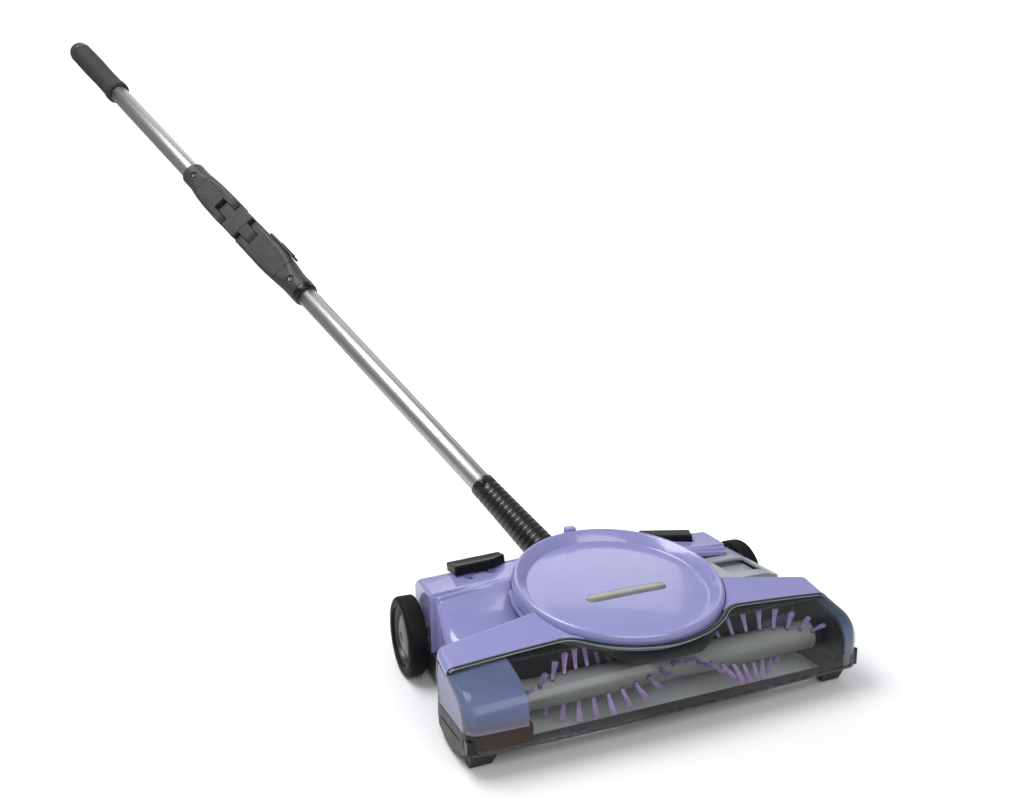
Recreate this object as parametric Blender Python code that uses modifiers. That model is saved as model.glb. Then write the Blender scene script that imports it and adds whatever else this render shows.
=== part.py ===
"""Cordless carpet sweeper: a wide brush head on wheels, with a swivelling neck and a fold-up handle.

Head frame: X to the right, Y towards the back, Z up, with Z = 0 on the floor.
The handle is modelled along its own axis (local Z of the pole frame), from the tilt pivot upwards.
Lengths are in millimetres here, and each mesh is scaled to metres when it is made.
"""
import math

import bmesh
import bpy
from mathutils import Matrix, Vector

MM = 0.001

# Where the head's own origin sits in the world, so that the world origin is under the middle of the whole sweeper.
HEAD_AT = (113.932, -482.774, 0.0)

# Head
HALF_WIDTH = 170.0
FLOOR_Z = 4.0
SEAM_Z = 26.0
WALL = 2.5
GAP = 0.35
DECK_HALF = 152.0
DECK_BACK = 198.0
NOSE_Y = 46.4
VALLEY_Z = 46.0

# Round cover
DISC_AT = (0.0, 103.5, 84.7)
DISC_TILT = math.radians(7.4)
DISC_R = 89.5

# Brush
BRUSH_Y, BRUSH_Z = 42.5, 31.4
CORE_R, TIP_R = 11.2, 29.0
BRUSH_LEFT, BRUSH_RIGHT = -117.0, 153.0
CHEVRON_TURN = 189.0

# Drive
MOTOR_Y, MOTOR_Z = 112.0, 26.5
BELT_X = -139.0
BRUSH_PULLEY_R, MOTOR_PULLEY_R = 13.0, 6.5

# Wheels
WHEEL_Y, WHEEL_R = 169.0, 33.5
WHEEL_IN, WHEEL_OUT = 155.9, 173.0

# Handle
PIVOT = (0.0, 187.8, 43.3)
SWIVEL_REST = math.radians(35.86)
PITCH_REST = math.radians(40.62)
TUBE_R, TUBE_WALL = 11.1, 0.8
SLEEVE_LO, SLEEVE_HI = 31.0, 139.5
FOLD_LO, FOLD_HI = 566.0, 620.0
HINGE_LO, HINGE_HI = 459.5, 707.0
HINGE_ROLL = math.radians(-8.0)
HANDLE_END = 1024.0

COLOURS = {
    "purple": ((0.36, 0.32, 0.62, 1), 0.25, 0),
    "clear": ((0.75, 0.8, 0.85, 0.25), 0.05, 0),
    "smoke": ((0.12, 0.13, 0.17, 0.55), 0.12, 0),
    "dark_grey": ((0.06, 0.06, 0.065, 1), 0.45, 0),
    "black_gloss": ((0.01, 0.01, 0.011, 1), 0.15, 0),
    "black_rubber": ((0.013, 0.013, 0.014, 1), 0.6, 0),
    "core_grey": ((0.2, 0.2, 0.2, 1), 0.4, 0),
    "bristle": ((0.42, 0.3, 0.66, 1), 0.6, 0),
    "bristle_black": ((0.02, 0.02, 0.02, 1), 0.7, 0),
    "aluminium": ((0.72, 0.72, 0.72, 1), 0.3, 1),
    "steel": ((0.55, 0.55, 0.56, 1), 0.3, 1),
    "white_plastic": ((0.75, 0.75, 0.73, 1), 0.4, 0),
    "battery_wrap": ((0.05, 0.13, 0.4, 1), 0.35, 0),
    "board_green": ((0.03, 0.2, 0.07, 1), 0.4, 0),
    "lens_green": ((0.01, 0.12, 0.05, 1), 0.1, 0),
}


# ---------------------------------------------------------------- scene, materials and frames

for old in list(bpy.data.objects):
    bpy.data.objects.remove(old, do_unlink=True)

parts = bpy.data.collections.new("carpet_sweeper")
cutters = bpy.data.collections.new("cutters")
bpy.context.scene.collection.children.link(parts)
bpy.context.scene.collection.children.link(cutters)


def make_material(name, colour, roughness, metallic):
    material = bpy.data.materials.new(name)
    material.use_nodes = True
    shader = material.node_tree.nodes["Principled BSDF"]
    shader.inputs["Base Color"].default_value = colour
    shader.inputs["Alpha"].default_value = colour[3]
    shader.inputs["Roughness"].default_value = roughness
    shader.inputs["Metallic"].default_value = metallic
    return material


MATERIALS = {name: make_material(name, *values) for name, values in COLOURS.items()}


def make_frame(name, matrix, parent=None):
    empty = bpy.data.objects.new(name, None)
    empty.empty_display_size = 0.02
    parts.objects.link(empty)
    empty.parent = parent
    empty.matrix_basis = matrix
    return empty


def shift(x, y, z):
    return Matrix.Translation(Vector((x, y, z)) * MM)


head = make_frame("head_frame", shift(*HEAD_AT))
# Swivel frame: X is the tilt pin, Y is the swivel axis.
swivel = make_frame("neck_swivel_axis", shift(*PIVOT) @ Matrix.Rotation(-SWIVEL_REST, 4, "Y"), head)
# Pole frame: Z runs up the handle and X is the tilt pin.
pole = make_frame("handle_pitch_axis", Matrix.Rotation(PITCH_REST - math.pi / 2, 4, "X"), swivel)
# Hinge frame: the fold pins run along X.
fold = make_frame("fold_frame", Matrix.Rotation(HINGE_ROLL, 4, "Z"), pole)


# ---------------------------------------------------------------- mesh helpers, all in millimetres

TURN_TO = {
    "X": Matrix.Rotation(math.pi / 2, 4, "Y"),
    "Y": Matrix.Rotation(-math.pi / 2, 4, "X"),
    "Z": Matrix.Identity(4),
}


def box(low, high, round_edges=0.0, segments=2):
    bm = bmesh.new()
    size = [b - a for a, b in zip(low, high)]
    middle = [(a + b) / 2 for a, b in zip(low, high)]
    bmesh.ops.create_cube(bm, size=1.0, matrix=Matrix.Translation(middle) @ Matrix.Diagonal((*size, 1)))
    if round_edges:
        bmesh.ops.bevel(bm, geom=bm.edges[:], offset=round_edges, segments=segments, affect="EDGES", profile=0.5)
    return bm


def rod(axis, radius, low, high, at=(0, 0, 0), sides=24, end_radius=None, chamfer=0.0):
    """A round bar along axis, from low to high along it, centred on at in the other two directions."""
    bm = bmesh.new()
    matrix = Matrix.Translation(at) @ TURN_TO[axis] @ Matrix.Translation((0, 0, (low + high) / 2))
    bmesh.ops.create_cone(
        bm, cap_ends=True, segments=sides, radius1=radius, radius2=end_radius or radius, depth=high - low, matrix=matrix
    )
    if chamfer:
        rims = [e for e in bm.edges if any(len(f.verts) > 4 for f in e.link_faces)]
        bmesh.ops.bevel(bm, geom=rims, offset=chamfer, segments=2, affect="EDGES", profile=0.5)
    return bm


def loft(sections):
    """A closed skin through sections that have the same number of points, capped at both ends."""
    bm = bmesh.new()
    rings = [[bm.verts.new(point) for point in section] for section in sections]
    count = len(rings[0])
    for first, second in zip(rings, rings[1:]):
        for i in range(count):
            bm.faces.new((first[i], first[(i + 1) % count], second[(i + 1) % count], second[i]))
    bm.faces.new(rings[0])
    bm.faces.new(rings[-1])
    bmesh.ops.recalc_face_normals(bm, faces=bm.faces[:])
    return bm


def plate(outline, low, high, holes=()):
    """A flat outline in XY as a filled 2D curve, extruded from low to high in Z."""
    curve = bpy.data.curves.new("outline", "CURVE")
    curve.dimensions = "2D"
    curve.fill_mode = "BOTH"
    curve.extrude = (high - low) / 2
    for points in (outline, *holes):
        spline = curve.splines.new("POLY")
        spline.points.add(len(points) - 1)
        spline.use_cyclic_u = True
        for point, (x, y) in zip(spline.points, points):
            point.co = (x, y, 0, 1)
    helper = bpy.data.objects.new("outline", curve)
    cutters.objects.link(helper)
    bpy.context.view_layer.update()
    evaluated = helper.evaluated_get(bpy.context.evaluated_depsgraph_get())
    mesh = bpy.data.meshes.new_from_object(evaluated)
    bpy.data.objects.remove(helper)
    bm = bmesh.new()
    bm.from_mesh(mesh)
    bmesh.ops.remove_doubles(bm, verts=bm.verts[:], dist=0.001)
    bmesh.ops.translate(bm, verts=bm.verts[:], vec=(0, 0, (low + high) / 2))
    bmesh.ops.recalc_face_normals(bm, faces=bm.faces[:])
    return bm


def turned(profile, steps=24):
    """A profile of (radius, height) points, turned about Z with a Screw modifier. It runs down the outer side."""
    mesh = bpy.data.meshes.new("profile")
    ring = [(r, 0, z) for r, z in profile]
    closed = all(r > 0 for r, _ in profile)
    edges = [(i, i + 1) for i in range(len(ring) - 1)] + ([(len(ring) - 1, 0)] if closed else [])
    mesh.from_pydata(ring, edges, [])
    helper = bpy.data.objects.new("profile", mesh)
    cutters.objects.link(helper)
    screw = helper.modifiers.new("turn", "SCREW")
    screw.steps = steps
    screw.render_steps = steps
    screw.use_merge_vertices = True
    screw.merge_threshold = 0.0001
    bpy.context.view_layer.update()
    evaluated = helper.evaluated_get(bpy.context.evaluated_depsgraph_get())
    result = bpy.data.meshes.new_from_object(evaluated)
    bpy.data.objects.remove(helper)
    bm = bmesh.new()
    bm.from_mesh(result)
    bmesh.ops.remove_doubles(bm, verts=bm.verts[:], dist=0.0005)
    bmesh.ops.recalc_face_normals(bm, faces=bm.faces[:])
    return bm


def height_block(columns, rows, surface, bottom):
    """A solid whose top is surface(x, row) and whose base is flat at bottom."""
    bm = bmesh.new()
    bmesh.ops.create_grid(bm, x_segments=len(columns) - 1, y_segments=len(rows) - 1, size=0.5)
    for vertex in bm.verts:
        i = round((vertex.co.x + 0.5) * (len(columns) - 1))
        j = round((vertex.co.y + 0.5) * (len(rows) - 1))
        vertex.co = surface(columns[i], rows[j])
    grown = bmesh.ops.extrude_face_region(bm, geom=bm.faces[:])
    for element in grown["geom"]:
        if isinstance(element, bmesh.types.BMVert):
            element.co.z = bottom
    bmesh.ops.recalc_face_normals(bm, faces=bm.faces[:])
    return bm


def moved(bm, matrix):
    bmesh.ops.transform(bm, matrix=matrix, verts=bm.verts[:])
    return bm


def arc(cx, cy, radius, start, end, count):
    """Points of an arc in a plane, with its angles in degrees."""
    turns = [math.radians(start + (end - start) * i / count) for i in range(count + 1)]
    return [(cx + radius * math.cos(a), cy + radius * math.sin(a)) for a in turns]


def node(name, bm, material, frame=head, at=(0, 0, 0), smooth=40):
    """Makes the object, with its origin at the point at of its frame."""
    bmesh.ops.translate(bm, verts=bm.verts[:], vec=-Vector(at))
    bmesh.ops.scale(bm, verts=bm.verts[:], vec=(MM, MM, MM))
    mesh = bpy.data.meshes.new(name)
    bm.to_mesh(mesh)
    bm.free()
    mesh.materials.append(MATERIALS[material])
    made = bpy.data.objects.new(name, mesh)
    parts.objects.link(made)
    made.parent = frame
    made.location = Vector(at) * MM
    mesh.shade_smooth()
    mesh.set_sharp_from_angle(angle=math.radians(smooth))
    return made


def boolean(target, bm, operation, frame=None):
    """Cuts or joins a helper solid, which is in the target's frame unless another is named."""
    bmesh.ops.scale(bm, verts=bm.verts[:], vec=(MM, MM, MM))
    mesh = bpy.data.meshes.new(target.name + "_helper")
    bm.to_mesh(mesh)
    bm.free()
    helper = bpy.data.objects.new(target.name + "_" + operation.lower(), mesh)
    cutters.objects.link(helper)
    helper.parent = frame or target.parent
    helper.hide_render = True
    helper.display_type = "WIRE"
    modifier = target.modifiers.new(operation.lower(), "BOOLEAN")
    modifier.operation = operation
    modifier.solver = "EXACT"
    modifier.object = helper
    return helper


def cut(target, *solids, frame=None):
    for solid in solids:
        boolean(target, solid, "DIFFERENCE", frame)


def join(target, *solids, frame=None):
    for solid in solids:
        boolean(target, solid, "UNION", frame)


# ---------------------------------------------------------------- outlines that several pieces share


def spread(low, high, count):
    return [low + (high - low) * i / count for i in range(count + 1)]


def tray_outline(inset=0.0):
    """The lower housing seen from above: a wide bar in front and a narrower body behind."""
    wide, deck, back = HALF_WIDTH - 3 - inset, DECK_HALF - inset, DECK_BACK - 1.5 - inset
    corner = 10.0
    front = 4.5 + inset
    right = arc(wide - corner, front + corner, corner, -90, 0, 4)
    right += [(wide, 79 - inset)]
    right += [(deck, 81.5 - inset)]
    right += arc(deck - corner, back - corner, corner, 0, 90, 4)
    return right + [(-x, y) for x, y in reversed(right)]


def ridge(x):
    """Where the front bar's sloping top ends: (y, z)."""
    along = min(1.0, max(0.0, (171.5 - abs(x)) / 83.0))
    return 71.5 + 8.5 * along, 68.6 + 10.7 * along


def window_top(x):
    return 64.0 + 7.6 * (1 - (x / 170.0) ** 2)


def nose_line(x, offset=0.0):
    """The front cover's section at x, from its bottom edge round to its top edge."""
    near_end = max(0.0, abs(x) - 160.0) / 10.0
    front = -4.8 + 4.0 * (x / 170.0) ** 2 + 10.0 * (1 - math.sqrt(max(0.0, 1 - near_end**2))) + offset
    top = window_top(x) - offset
    radius = 21.0
    line = [(front + 0.4, 20.2), (front, 30.0)]
    for y, z in arc(front + radius, top - 4.2 - radius, radius, 180, 97, 6):
        line.append((y, z))
    line.append((NOSE_Y - 0.4, top))
    return line


def shelf(x):
    """Height of the rear deck, which rises towards the middle."""
    return 78.0 + 4.0 * (150.0 - min(150.0, abs(x))) / 85.0


# ---------------------------------------------------------------- head: lower shell

base_plate = node("base_plate", plate(tray_outline(1.0), FLOOR_Z, FLOOR_Z + 2.4), "dark_grey")
cut(
    base_plate,
    box((-180, -10, 0), (180, 27.0, 12)),
    box((-121, 20, 0), (157, 71.5, 12)),
    box((-104, 75.0, 0), (-84, 91.5, 12)),
    box((72, 75.0, 0), (92, 91.5, 12)),
    box((-62, 100, 0), (62, 148, 5.2)),
)

def profile_bar(profile, x_low, x_high):
    """A bar along X with the (y, z) profile."""
    return loft([[(x, y, z) for y, z in profile] for x in (x_low, x_high)])


lower_housing = node("lower_housing", plate(tray_outline(), FLOOR_Z + 2.8, SEAM_Z), "dark_grey")
cut(
    lower_housing,
    # Brush chamber and the opening under it, behind the ramp of the front lip
    profile_bar([(7.2, 40), (7.2, 19.9), (22.5, 9.4), (22.5, 0), (73.0, 0), (73.0, 40)], -119, 155),
    # Drive chamber, left of the brush
    profile_bar([(12, 40), (12, 15.0), (27, 9), (73.0, 9), (73.0, 40)], -163, -121.5),
    # Right end cheek pocket
    profile_bar([(12, 40), (12, 15.0), (27, 9), (71.0, 9), (71.0, 40)], 156.6, 163.5),
    # Motor and battery bay
    box((-149, 84, 9), (88.5, 158, 40)),
    # Dust cup bay
    box((91, 84, 9), (149, 139, 40)),
    # Rear pocket under the neck
    box((-46, 155, 9), (46, 193, 40)),
    # Dust slot from the brush chamber to the cup
    box((95, 60, 12), (145, 90, 24)),
    # Belt slot
    box((-147, 60, 14), (-131, 90, 40)),
    # Front edge is low in the middle, behind the clear cover
    box((-158, -5, 20), (158, 12, 40)),
    # The underside rises towards the front
    profile_bar([(-10, 0), (-10, 18.5), (4, 18.5), (23, 6.8), (27, 0)], -180, 180),
    # Front roller pockets
    box((-103.5, 75.2, 0), (-84.5, 90.8, 16)),
    box((72.5, 75.2, 0), (91.5, 90.8, 16)),
)
lip_sections = []
for x in (-168, -164, -160, -120, -80, -40, 0, 40, 80, 120, 160, 164, 168):
    y_front = nose_line(x)[0][0] + 0.5
    lip_sections.append([(x, y_front, 18.2), (x, y_front, 19.8), (x, 13.0, 19.8), (x, 13.0, 18.2)])
join(lower_housing, loft(lip_sections))
cut(lower_housing, profile_bar([(8.6, 40), (8.6, 18.9), (22.5, 9.4), (22.5, 0), (73.0, 0), (73.0, 40)], -119, 155))
for side in (-1, 1):
    bearing = box((min(side * 128, side * 146), 158, 8), (max(side * 128, side * 146), 180, 46))
    join(lower_housing, bearing)
    cut(lower_housing, rod("X", 4.35, -180 if side < 0 else 120, -120 if side < 0 else 180, (0, WHEEL_Y, WHEEL_R)))

battery_door = node("battery_door", box((-61.6, 100.4, FLOOR_Z), (61.6, 147.6, 4.9)), "dark_grey")

rear_flap = node("rear_flap", box((-118, 71.85, 1.2), (152, 72.7, 3.7)), "black_rubber")
join(rear_flap, box((-118, 70.5, 3.0), (152, 72.7, 3.7)))

for side, label in ((-1, "left"), (1, "right")):
    tuft = loft(
        [
            [(side * 142, 9.0, 15.0), (side * 165, 9.0, 15.0), (side * 165, 21.0, 7.6), (side * 142, 21.0, 7.6)],
            [(side * 147, 15.5, 0.5), (side * 164, 15.5, 0.5), (side * 164, 24.0, 0.5), (side * 147, 24.0, 0.5)],
        ]
    )
    node("edge_brush_" + label, tuft, "bristle_black")

for x, label in ((-94, "left"), (82, "right")):
    roller = rod("X", 7.0, x - 8.5, x + 8.5, (0, 83.0, 7.0), 20, chamfer=0.8)
    node("front_roller_" + label, roller, "black_rubber", at=(x, 83.0, 7.0))


# ---------------------------------------------------------------- head: upper shell


def bar_surface(inner):
    def surface(x, row):
        y_top, z_top = ridge(x)
        y = NOSE_Y + (y_top - NOSE_Y) * row if row <= 1 else y_top + 2.4 * (row - 1)
        z = window_top(x) + (z_top - window_top(x)) * min(1, row) - (2.5 * (row - 1) if row > 1 else 0)
        if inner:
            return (x, y - (2.6 if row >= 1 else 3.0 * (1 - row)), z - WALL)
        return (x, y, z)

    return surface


def deck_height(x, y):
    """The rear body's top: a low valley behind the bar, a scooped rise, then the deck, rounded off at the back."""
    top = shelf(x)
    rise = [(84.0, 0.0), (104, 0.02), (118, 0.12), (128, 0.33), (137, 0.66), (143, 0.88), (147, 0.93), (150, 1.0)]
    share = 1.0
    for (y0, s0), (y1, s1) in zip(rise, rise[1:]):
        if y <= y0:
            share = s0
            break
        if y0 < y <= y1:
            share = s0 + (s1 - s0) * (y - y0) / (y1 - y0)
            break
    back = max(0.0, y - (DECK_BACK - 24.0))
    drop = 24.0 - math.sqrt(max(0.0, 24.0**2 - back**2))
    return VALLEY_Z + (top - VALLEY_Z) * share - drop


def deck_surface(inner):
    def surface(x, y):
        return (x, y, deck_height(x, y) - (WALL if inner else 0))

    return surface


bar_columns = [-170, -150, -120, -88.5, -45, 0, 45, 88.5, 120, 150, 170]
top_housing = node(
    "top_housing", height_block(bar_columns, [0, 0.5, 1, 2], bar_surface(False), SEAM_Z + GAP), "purple", smooth=30
)
deck_rows = [76, 84, 104, 118, 128, 137, 143, 147, 150, 174, 182, 188, 193, 196.5, 198]
join(top_housing, height_block([-152, -110, -65, 0, 65, 110, 152], deck_rows, deck_surface(False), SEAM_Z + GAP))
inner_columns = [-167.4, -150, -120, -88.5, -45, 0, 45, 88.5, 120, 150, 167.4]
cut(top_housing, height_block(inner_columns, [-2, 0, 0.5, 1], bar_surface(True), 0))
inner_rows = [84, 104, 118, 128, 137, 143, 147, 150, 174, 182, 188, 193, 195]
cut(top_housing, height_block([-149.4, -110, -65, 0, 65, 110, 149.4], inner_rows, deck_surface(True), 0))
for side in (-1, 1):
    cheek = [(NOSE_Y + 2, 60.5), (30, 57), (18.5, 51), (14, 44), (12.4, 34), (12.4, SEAM_Z + GAP), (72, SEAM_Z + GAP), (72, 62)]
    join(top_housing, loft([[(side * x, y, z) for y, z in cheek] for x in (167.3, 170.0)]))

disc_axis = Matrix.Translation(DISC_AT) @ Matrix.Rotation(DISC_TILT, 4, "X")
well = moved(rod("Z", DISC_R + 0.6, -14.6, 30, sides=48), disc_axis)
cut(
    top_housing,
    well,
    # Dust cup bay
    box((92, 84, 0), (149.5, 139.5, 120)),
    box((92, 84, 57), (170, 139.5, 120)),
    # Lower ledge at the right of the deck
    box((132.5, 130, 57), (170, 210, 120)),
    # Notch for the neck
    box((-48, 171, 20), (48, 215, 120)),
    # Belt slot
    box((-147, 60, 20), (-131, 90, 55)),
    # Dust slot
    box((95, 60, 20), (145, 90, 40)),
    # Room for the tips of the tufts
    box((-121, 60, 20), (156, 73.4, 52)),
)
# Seat plate under the round cover, which carries it
join(top_housing, moved(rod("Z", DISC_R + 1.7, -16.9, -14.3, sides=40), disc_axis))
cut(top_housing, box((-48, 171, 20), (48, 215, 120)), box((-130, -10, 20), (130, NOSE_Y + 1.5, 120)))
for side in (-1, 1):
    cut(top_housing, rod("X", 4.35, -165 if side < 0 else 145, -145 if side < 0 else 165, (0, WHEEL_Y, WHEEL_R)))

disc_profile = [
    (0.0, -5.4),
    (30, -5.8),
    (60, -7.4),
    (76.5, -9.0),
    (78.6, -6.6),
    (84.2, -1.2),
    (85.6, 0.0),
    (87.4, -0.6),
    (89.0, -3.0),
    (DISC_R, -7.0),
    (DISC_R, -13.6),
    (86.9, -13.6),
    (86.9, -4.6),
    (85.0, -3.9),
    (80.4, -8.6),
    (77.4, -11.6),
    (60, -9.9),
    (30, -8.3),
    (0.0, -7.9),
]
disc_cover = node("disc_cover", moved(turned(disc_profile, 40), disc_axis), "purple", at=DISC_AT)
# Small lug at the back of the round cover
join(disc_cover, moved(box((-8.5, 88.0, -6.0), (1.8, 93.0, 2.8), 1.2, 2), disc_axis))

window_columns = [-170, -168, -164, -160, -120, -80, -40, 0, 40, 80, 120, 160, 164, 168, 170]
window_sections = []
for x in window_columns:
    outer = nose_line(x)
    inner = nose_line(x, 2.0)
    window_sections.append([(x, y, z) for y, z in outer] + [(x, y, z) for y, z in reversed(inner)])
window = node("window", loft(window_sections), "clear")
cut(window, moved(rod("Z", DISC_R + 1.6, -60, 40, sides=48), disc_axis))


def cover_strip(x_low, x_high, offset, thick):
    sections = []
    for x in (x_low, x_high):
        outer = [(y, z) for y, z in nose_line(-150, offset) if z > 25]
        inner = [(y, z) for y, z in nose_line(-150, offset + thick) if z > 25]
        outer[-1] = (NOSE_Y - 2, outer[-1][1] - 1.0)
        inner[-1] = (NOSE_Y - 2, inner[-1][1] - 1.0)
        sections.append([(x, y, z) for y, z in outer] + [(x, y, z) for y, z in reversed(inner)])
    return loft(sections)


gear_cover = node("gear_cover", cover_strip(-157.5, -124.0, 5.0, 2.0), "purple")
join(gear_cover, box((-126.4, 20, SEAM_Z + 4), (-124.0, 60, 56)))
join(gear_cover, box((-126.4, 8.5, 30.0), (-124.0, 40, 50)))
cut(gear_cover, rod("X", 9.0, -130, -120, (0, BRUSH_Y, BRUSH_Z), 20))
end_cap = node("end_cap_right", cover_strip(157.0, 160.5, 5.0, 2.0), "purple")
join(end_cap, box((158.2, 9.5, 30.0), (160.5, 60, 52)))
cut(end_cap, rod("X", 8.4, 150, 170, (0, BRUSH_Y, BRUSH_Z), 20))

neck_bearing = node("neck_bearing", box((-26, 155, 20), (26, 170, 66), 2.0, 1), "dark_grey")
cut(neck_bearing, rod("Y", 17.4, 140, 190, (0, 0, PIVOT[2]), 32))
join(neck_bearing, box((-26, 155, 9.4), (-20, 170, 24)), box((20, 155, 9.4), (26, 170, 24)))


# ---------------------------------------------------------------- brush and drive

AXIS = (0, BRUSH_Y, BRUSH_Z)
brush_at = (16, BRUSH_Y, BRUSH_Z)
brush_core = node("brush_core", rod("X", CORE_R, BRUSH_LEFT, BRUSH_RIGHT, AXIS, 28, chamfer=1.0), "core_grey", at=brush_at)
join(brush_core, rod("X", 3.0, -150, 164.5, AXIS, 16))


def chevron(share):
    """Turn of a bristle row at a share of the roll's length: it meets in the middle like a V."""
    return math.radians(-CHEVRON_TURN) * (1 - abs(2 * share - 1))


def bristle_row(start):
    sections = []
    steps = 32
    for i in range(steps + 1):
        share = i / steps
        x = BRUSH_LEFT + 5 + (BRUSH_RIGHT - BRUSH_LEFT - 10) * share
        turn = math.radians(start) + chevron(share)
        ring = []
        for radius, half in ((CORE_R + 0.45, 2.0), (TIP_R, 1.2)):
            for sign in (-1, 1) if radius < 20 else (1, -1):
                a = turn + sign * half / radius
                ring.append((x, BRUSH_Y + radius * math.cos(a), BRUSH_Z + radius * math.sin(a)))
        sections.append(ring)
    return loft(sections)


node("bristle_row_a", bristle_row(149), "bristle", at=brush_at)
node("bristle_row_b", bristle_row(329), "bristle", at=brush_at)

brush_pulley = node("brush_pulley", rod("X", BRUSH_PULLEY_R, BELT_X - 4, BELT_X + 4, AXIS, 28), "white_plastic", at=brush_at)
join(brush_pulley, rod("X", 14.5, BELT_X - 6, BELT_X - 3.8, AXIS, 28), rod("X", 14.5, BELT_X + 3.8, BELT_X + 6, AXIS, 28))
join(brush_pulley, rod("X", 7.0, BELT_X - 6, BELT_X + 8, AXIS, 20))
cut(brush_pulley, rod("X", 3.35, -170, -100, AXIS, 16))

block = box((-156, BRUSH_Y - 7, 17), (-149.5, BRUSH_Y + 7, BRUSH_Z + 7), 1.2, 2)
bearing_left = node("brush_bearing_left", block, "dark_grey")
join(bearing_left, box((-156, BRUSH_Y - 7, 9.3), (-149.5, BRUSH_Y + 7, 20)))
cut(bearing_left, rod("X", 3.4, -160, -145, AXIS, 16))
bearing_right = node("brush_bearing_right", rod("X", 7.9, 157.2, 163.0, AXIS, 20, chamfer=0.6), "dark_grey")
cut(bearing_right, rod("X", 3.4, 150, 170, AXIS, 16))

motor_at = (-90, MOTOR_Y, MOTOR_Z)
motor = node("motor", rod("X", 15.0, -122, -66, (0, MOTOR_Y, MOTOR_Z), 24, chamfer=1.5), "steel", at=motor_at)
join(motor, rod("X", 6.0, -66.5, -62, (0, MOTOR_Y, MOTOR_Z), 16), rod("X", 6.0, -126, -121.5, (0, MOTOR_Y, MOTOR_Z), 16))
cut(motor, rod("X", 1.85, -130, -110, (0, MOTOR_Y, MOTOR_Z), 12))
motor_shaft = node("motor_shaft", rod("X", 1.5, -147, -111, (0, MOTOR_Y, MOTOR_Z), 12), "steel", at=(-128, MOTOR_Y, MOTOR_Z))
motor_pulley = node(
    "motor_pulley", rod("X", MOTOR_PULLEY_R, BELT_X - 4, BELT_X + 4, (0, MOTOR_Y, MOTOR_Z), 20), "white_plastic",
    at=(-128, MOTOR_Y, MOTOR_Z),
)
join(
    motor_pulley,
    rod("X", 8.2, BELT_X - 6, BELT_X - 3.8, (0, MOTOR_Y, MOTOR_Z), 20),
    rod("X", 8.2, BELT_X + 3.8, BELT_X + 6, (0, MOTOR_Y, MOTOR_Z), 20),
)
cut(motor_pulley, rod("X", 1.85, -150, -120, (0, MOTOR_Y, MOTOR_Z), 12))


def belt_outline(extra):
    """The line round both pulleys, as (y, z) points."""
    dy, dz = MOTOR_Y - BRUSH_Y, MOTOR_Z - BRUSH_Z
    lean = math.degrees(math.atan2(dz, dy))
    spread_angle = math.degrees(math.acos((BRUSH_PULLEY_R - MOTOR_PULLEY_R) / math.hypot(dy, dz)))
    big = arc(BRUSH_Y, BRUSH_Z, BRUSH_PULLEY_R + extra, lean + spread_angle, lean + 360 - spread_angle, 14)
    small = arc(MOTOR_Y, MOTOR_Z, MOTOR_PULLEY_R + extra, lean - spread_angle, lean + spread_angle, 8)
    return big + small


belt = plate(belt_outline(1.7), BELT_X - 3.2, BELT_X + 3.2, [belt_outline(0.35)])
# The outline's X and Y become the world's Y and Z, and its height becomes X.
stand_up = Matrix(((0, 0, 1, 0), (1, 0, 0, 0), (0, 1, 0, 0), (0, 0, 0, 1)))
node("drive_belt", moved(belt, stand_up), "black_rubber")

battery = box((-58, 96, 10), (58, 147, 33), 5.0, 3)
node("battery_pack", battery, "battery_wrap")
node("circuit_board", box((-44, 100, 40), (40, 142, 42)), "board_green")
jack = node("charge_jack", rod("Y", 5.5, 182.5, 196.0, (-78, 0, 50), 20), "dark_grey")
cut(jack, rod("Y", 1.9, 188, 200, (-78, 0, 50), 12))
join(jack, box((-86, 183.0, 43), (-70, 186.0, 57)))
cut(top_housing, rod("Y", 6.0, 185, 205, (-78, 0, 50), 20))

led_at = (-111, 161.0, shelf(-111) + 0.3)
light_at = (led_at[0], led_at[1], 0)
light = rod("Z", 2.6, led_at[2] - 6, led_at[2] + 0.9, light_at, 16, chamfer=0.7)
node("charge_light", light, "lens_green")
cut(top_housing, rod("Z", 3.0, 60, 100, (led_at[0], led_at[1], 0), 16))


# ---------------------------------------------------------------- pedals


def pedal(name, length, depth, place):
    """A long foot pedal, hinged along its back edge, with a stem that reaches down to its switch."""
    body = box((-length / 2, 0, 0), (length / 2, depth, 6.8), 1.8, 2)
    hinge_at = place @ Vector((0, depth - 2, 1.5))
    made = node(name, moved(body, place), "black_gloss", at=hinge_at)
    join(made, moved(box((-5, 3, -15), (5, 9, 2)), place))
    cut(top_housing, moved(box((-7, 0.5, -25), (7, 11.5, 10)), place))
    node(name.replace("pedal", "switch"), moved(box((-8, 1, -31), (8, 11, -20.5), 0.8, 1), place), "black_gloss")
    return made


left_place = Matrix.Translation((-98, 166, shelf(-98) + 3.0))
left_place = left_place @ Matrix.Rotation(math.radians(-2.7), 4, "Y") @ Matrix.Rotation(math.radians(-12), 4, "X")
power_pedal = pedal("power_pedal", 49, 26, left_place)
right_place = Matrix.Translation((84.0, 166.5, 79.6)) @ Matrix.Rotation(math.radians(-20.6), 4, "Z")
speed_pedal = pedal("speed_pedal", 48, 15.5, right_place)
cut(top_housing, moved(box((-25.2, -1.2, -12), (25.2, 16.7, 12)), right_place))


# ---------------------------------------------------------------- dust cup

cup = node("dust_cup", box((93, 85, 10.2), (148.5, 138.5, 56), 2.0, 2), "smoke")
cut(cup, box((94.8, 86.8, 12), (146.7, 136.7, 70)), box((97, 80, 13.5), (143, 90, 23)))

lid_low, lid_high = 57.4, 60.0


def lid_top(x, y):
    return 72.5 - 3.5 * (y - 84.6) / 81.0 - 9.0 * max(0.0, (x - 130) / 21.6) ** 2


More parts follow.
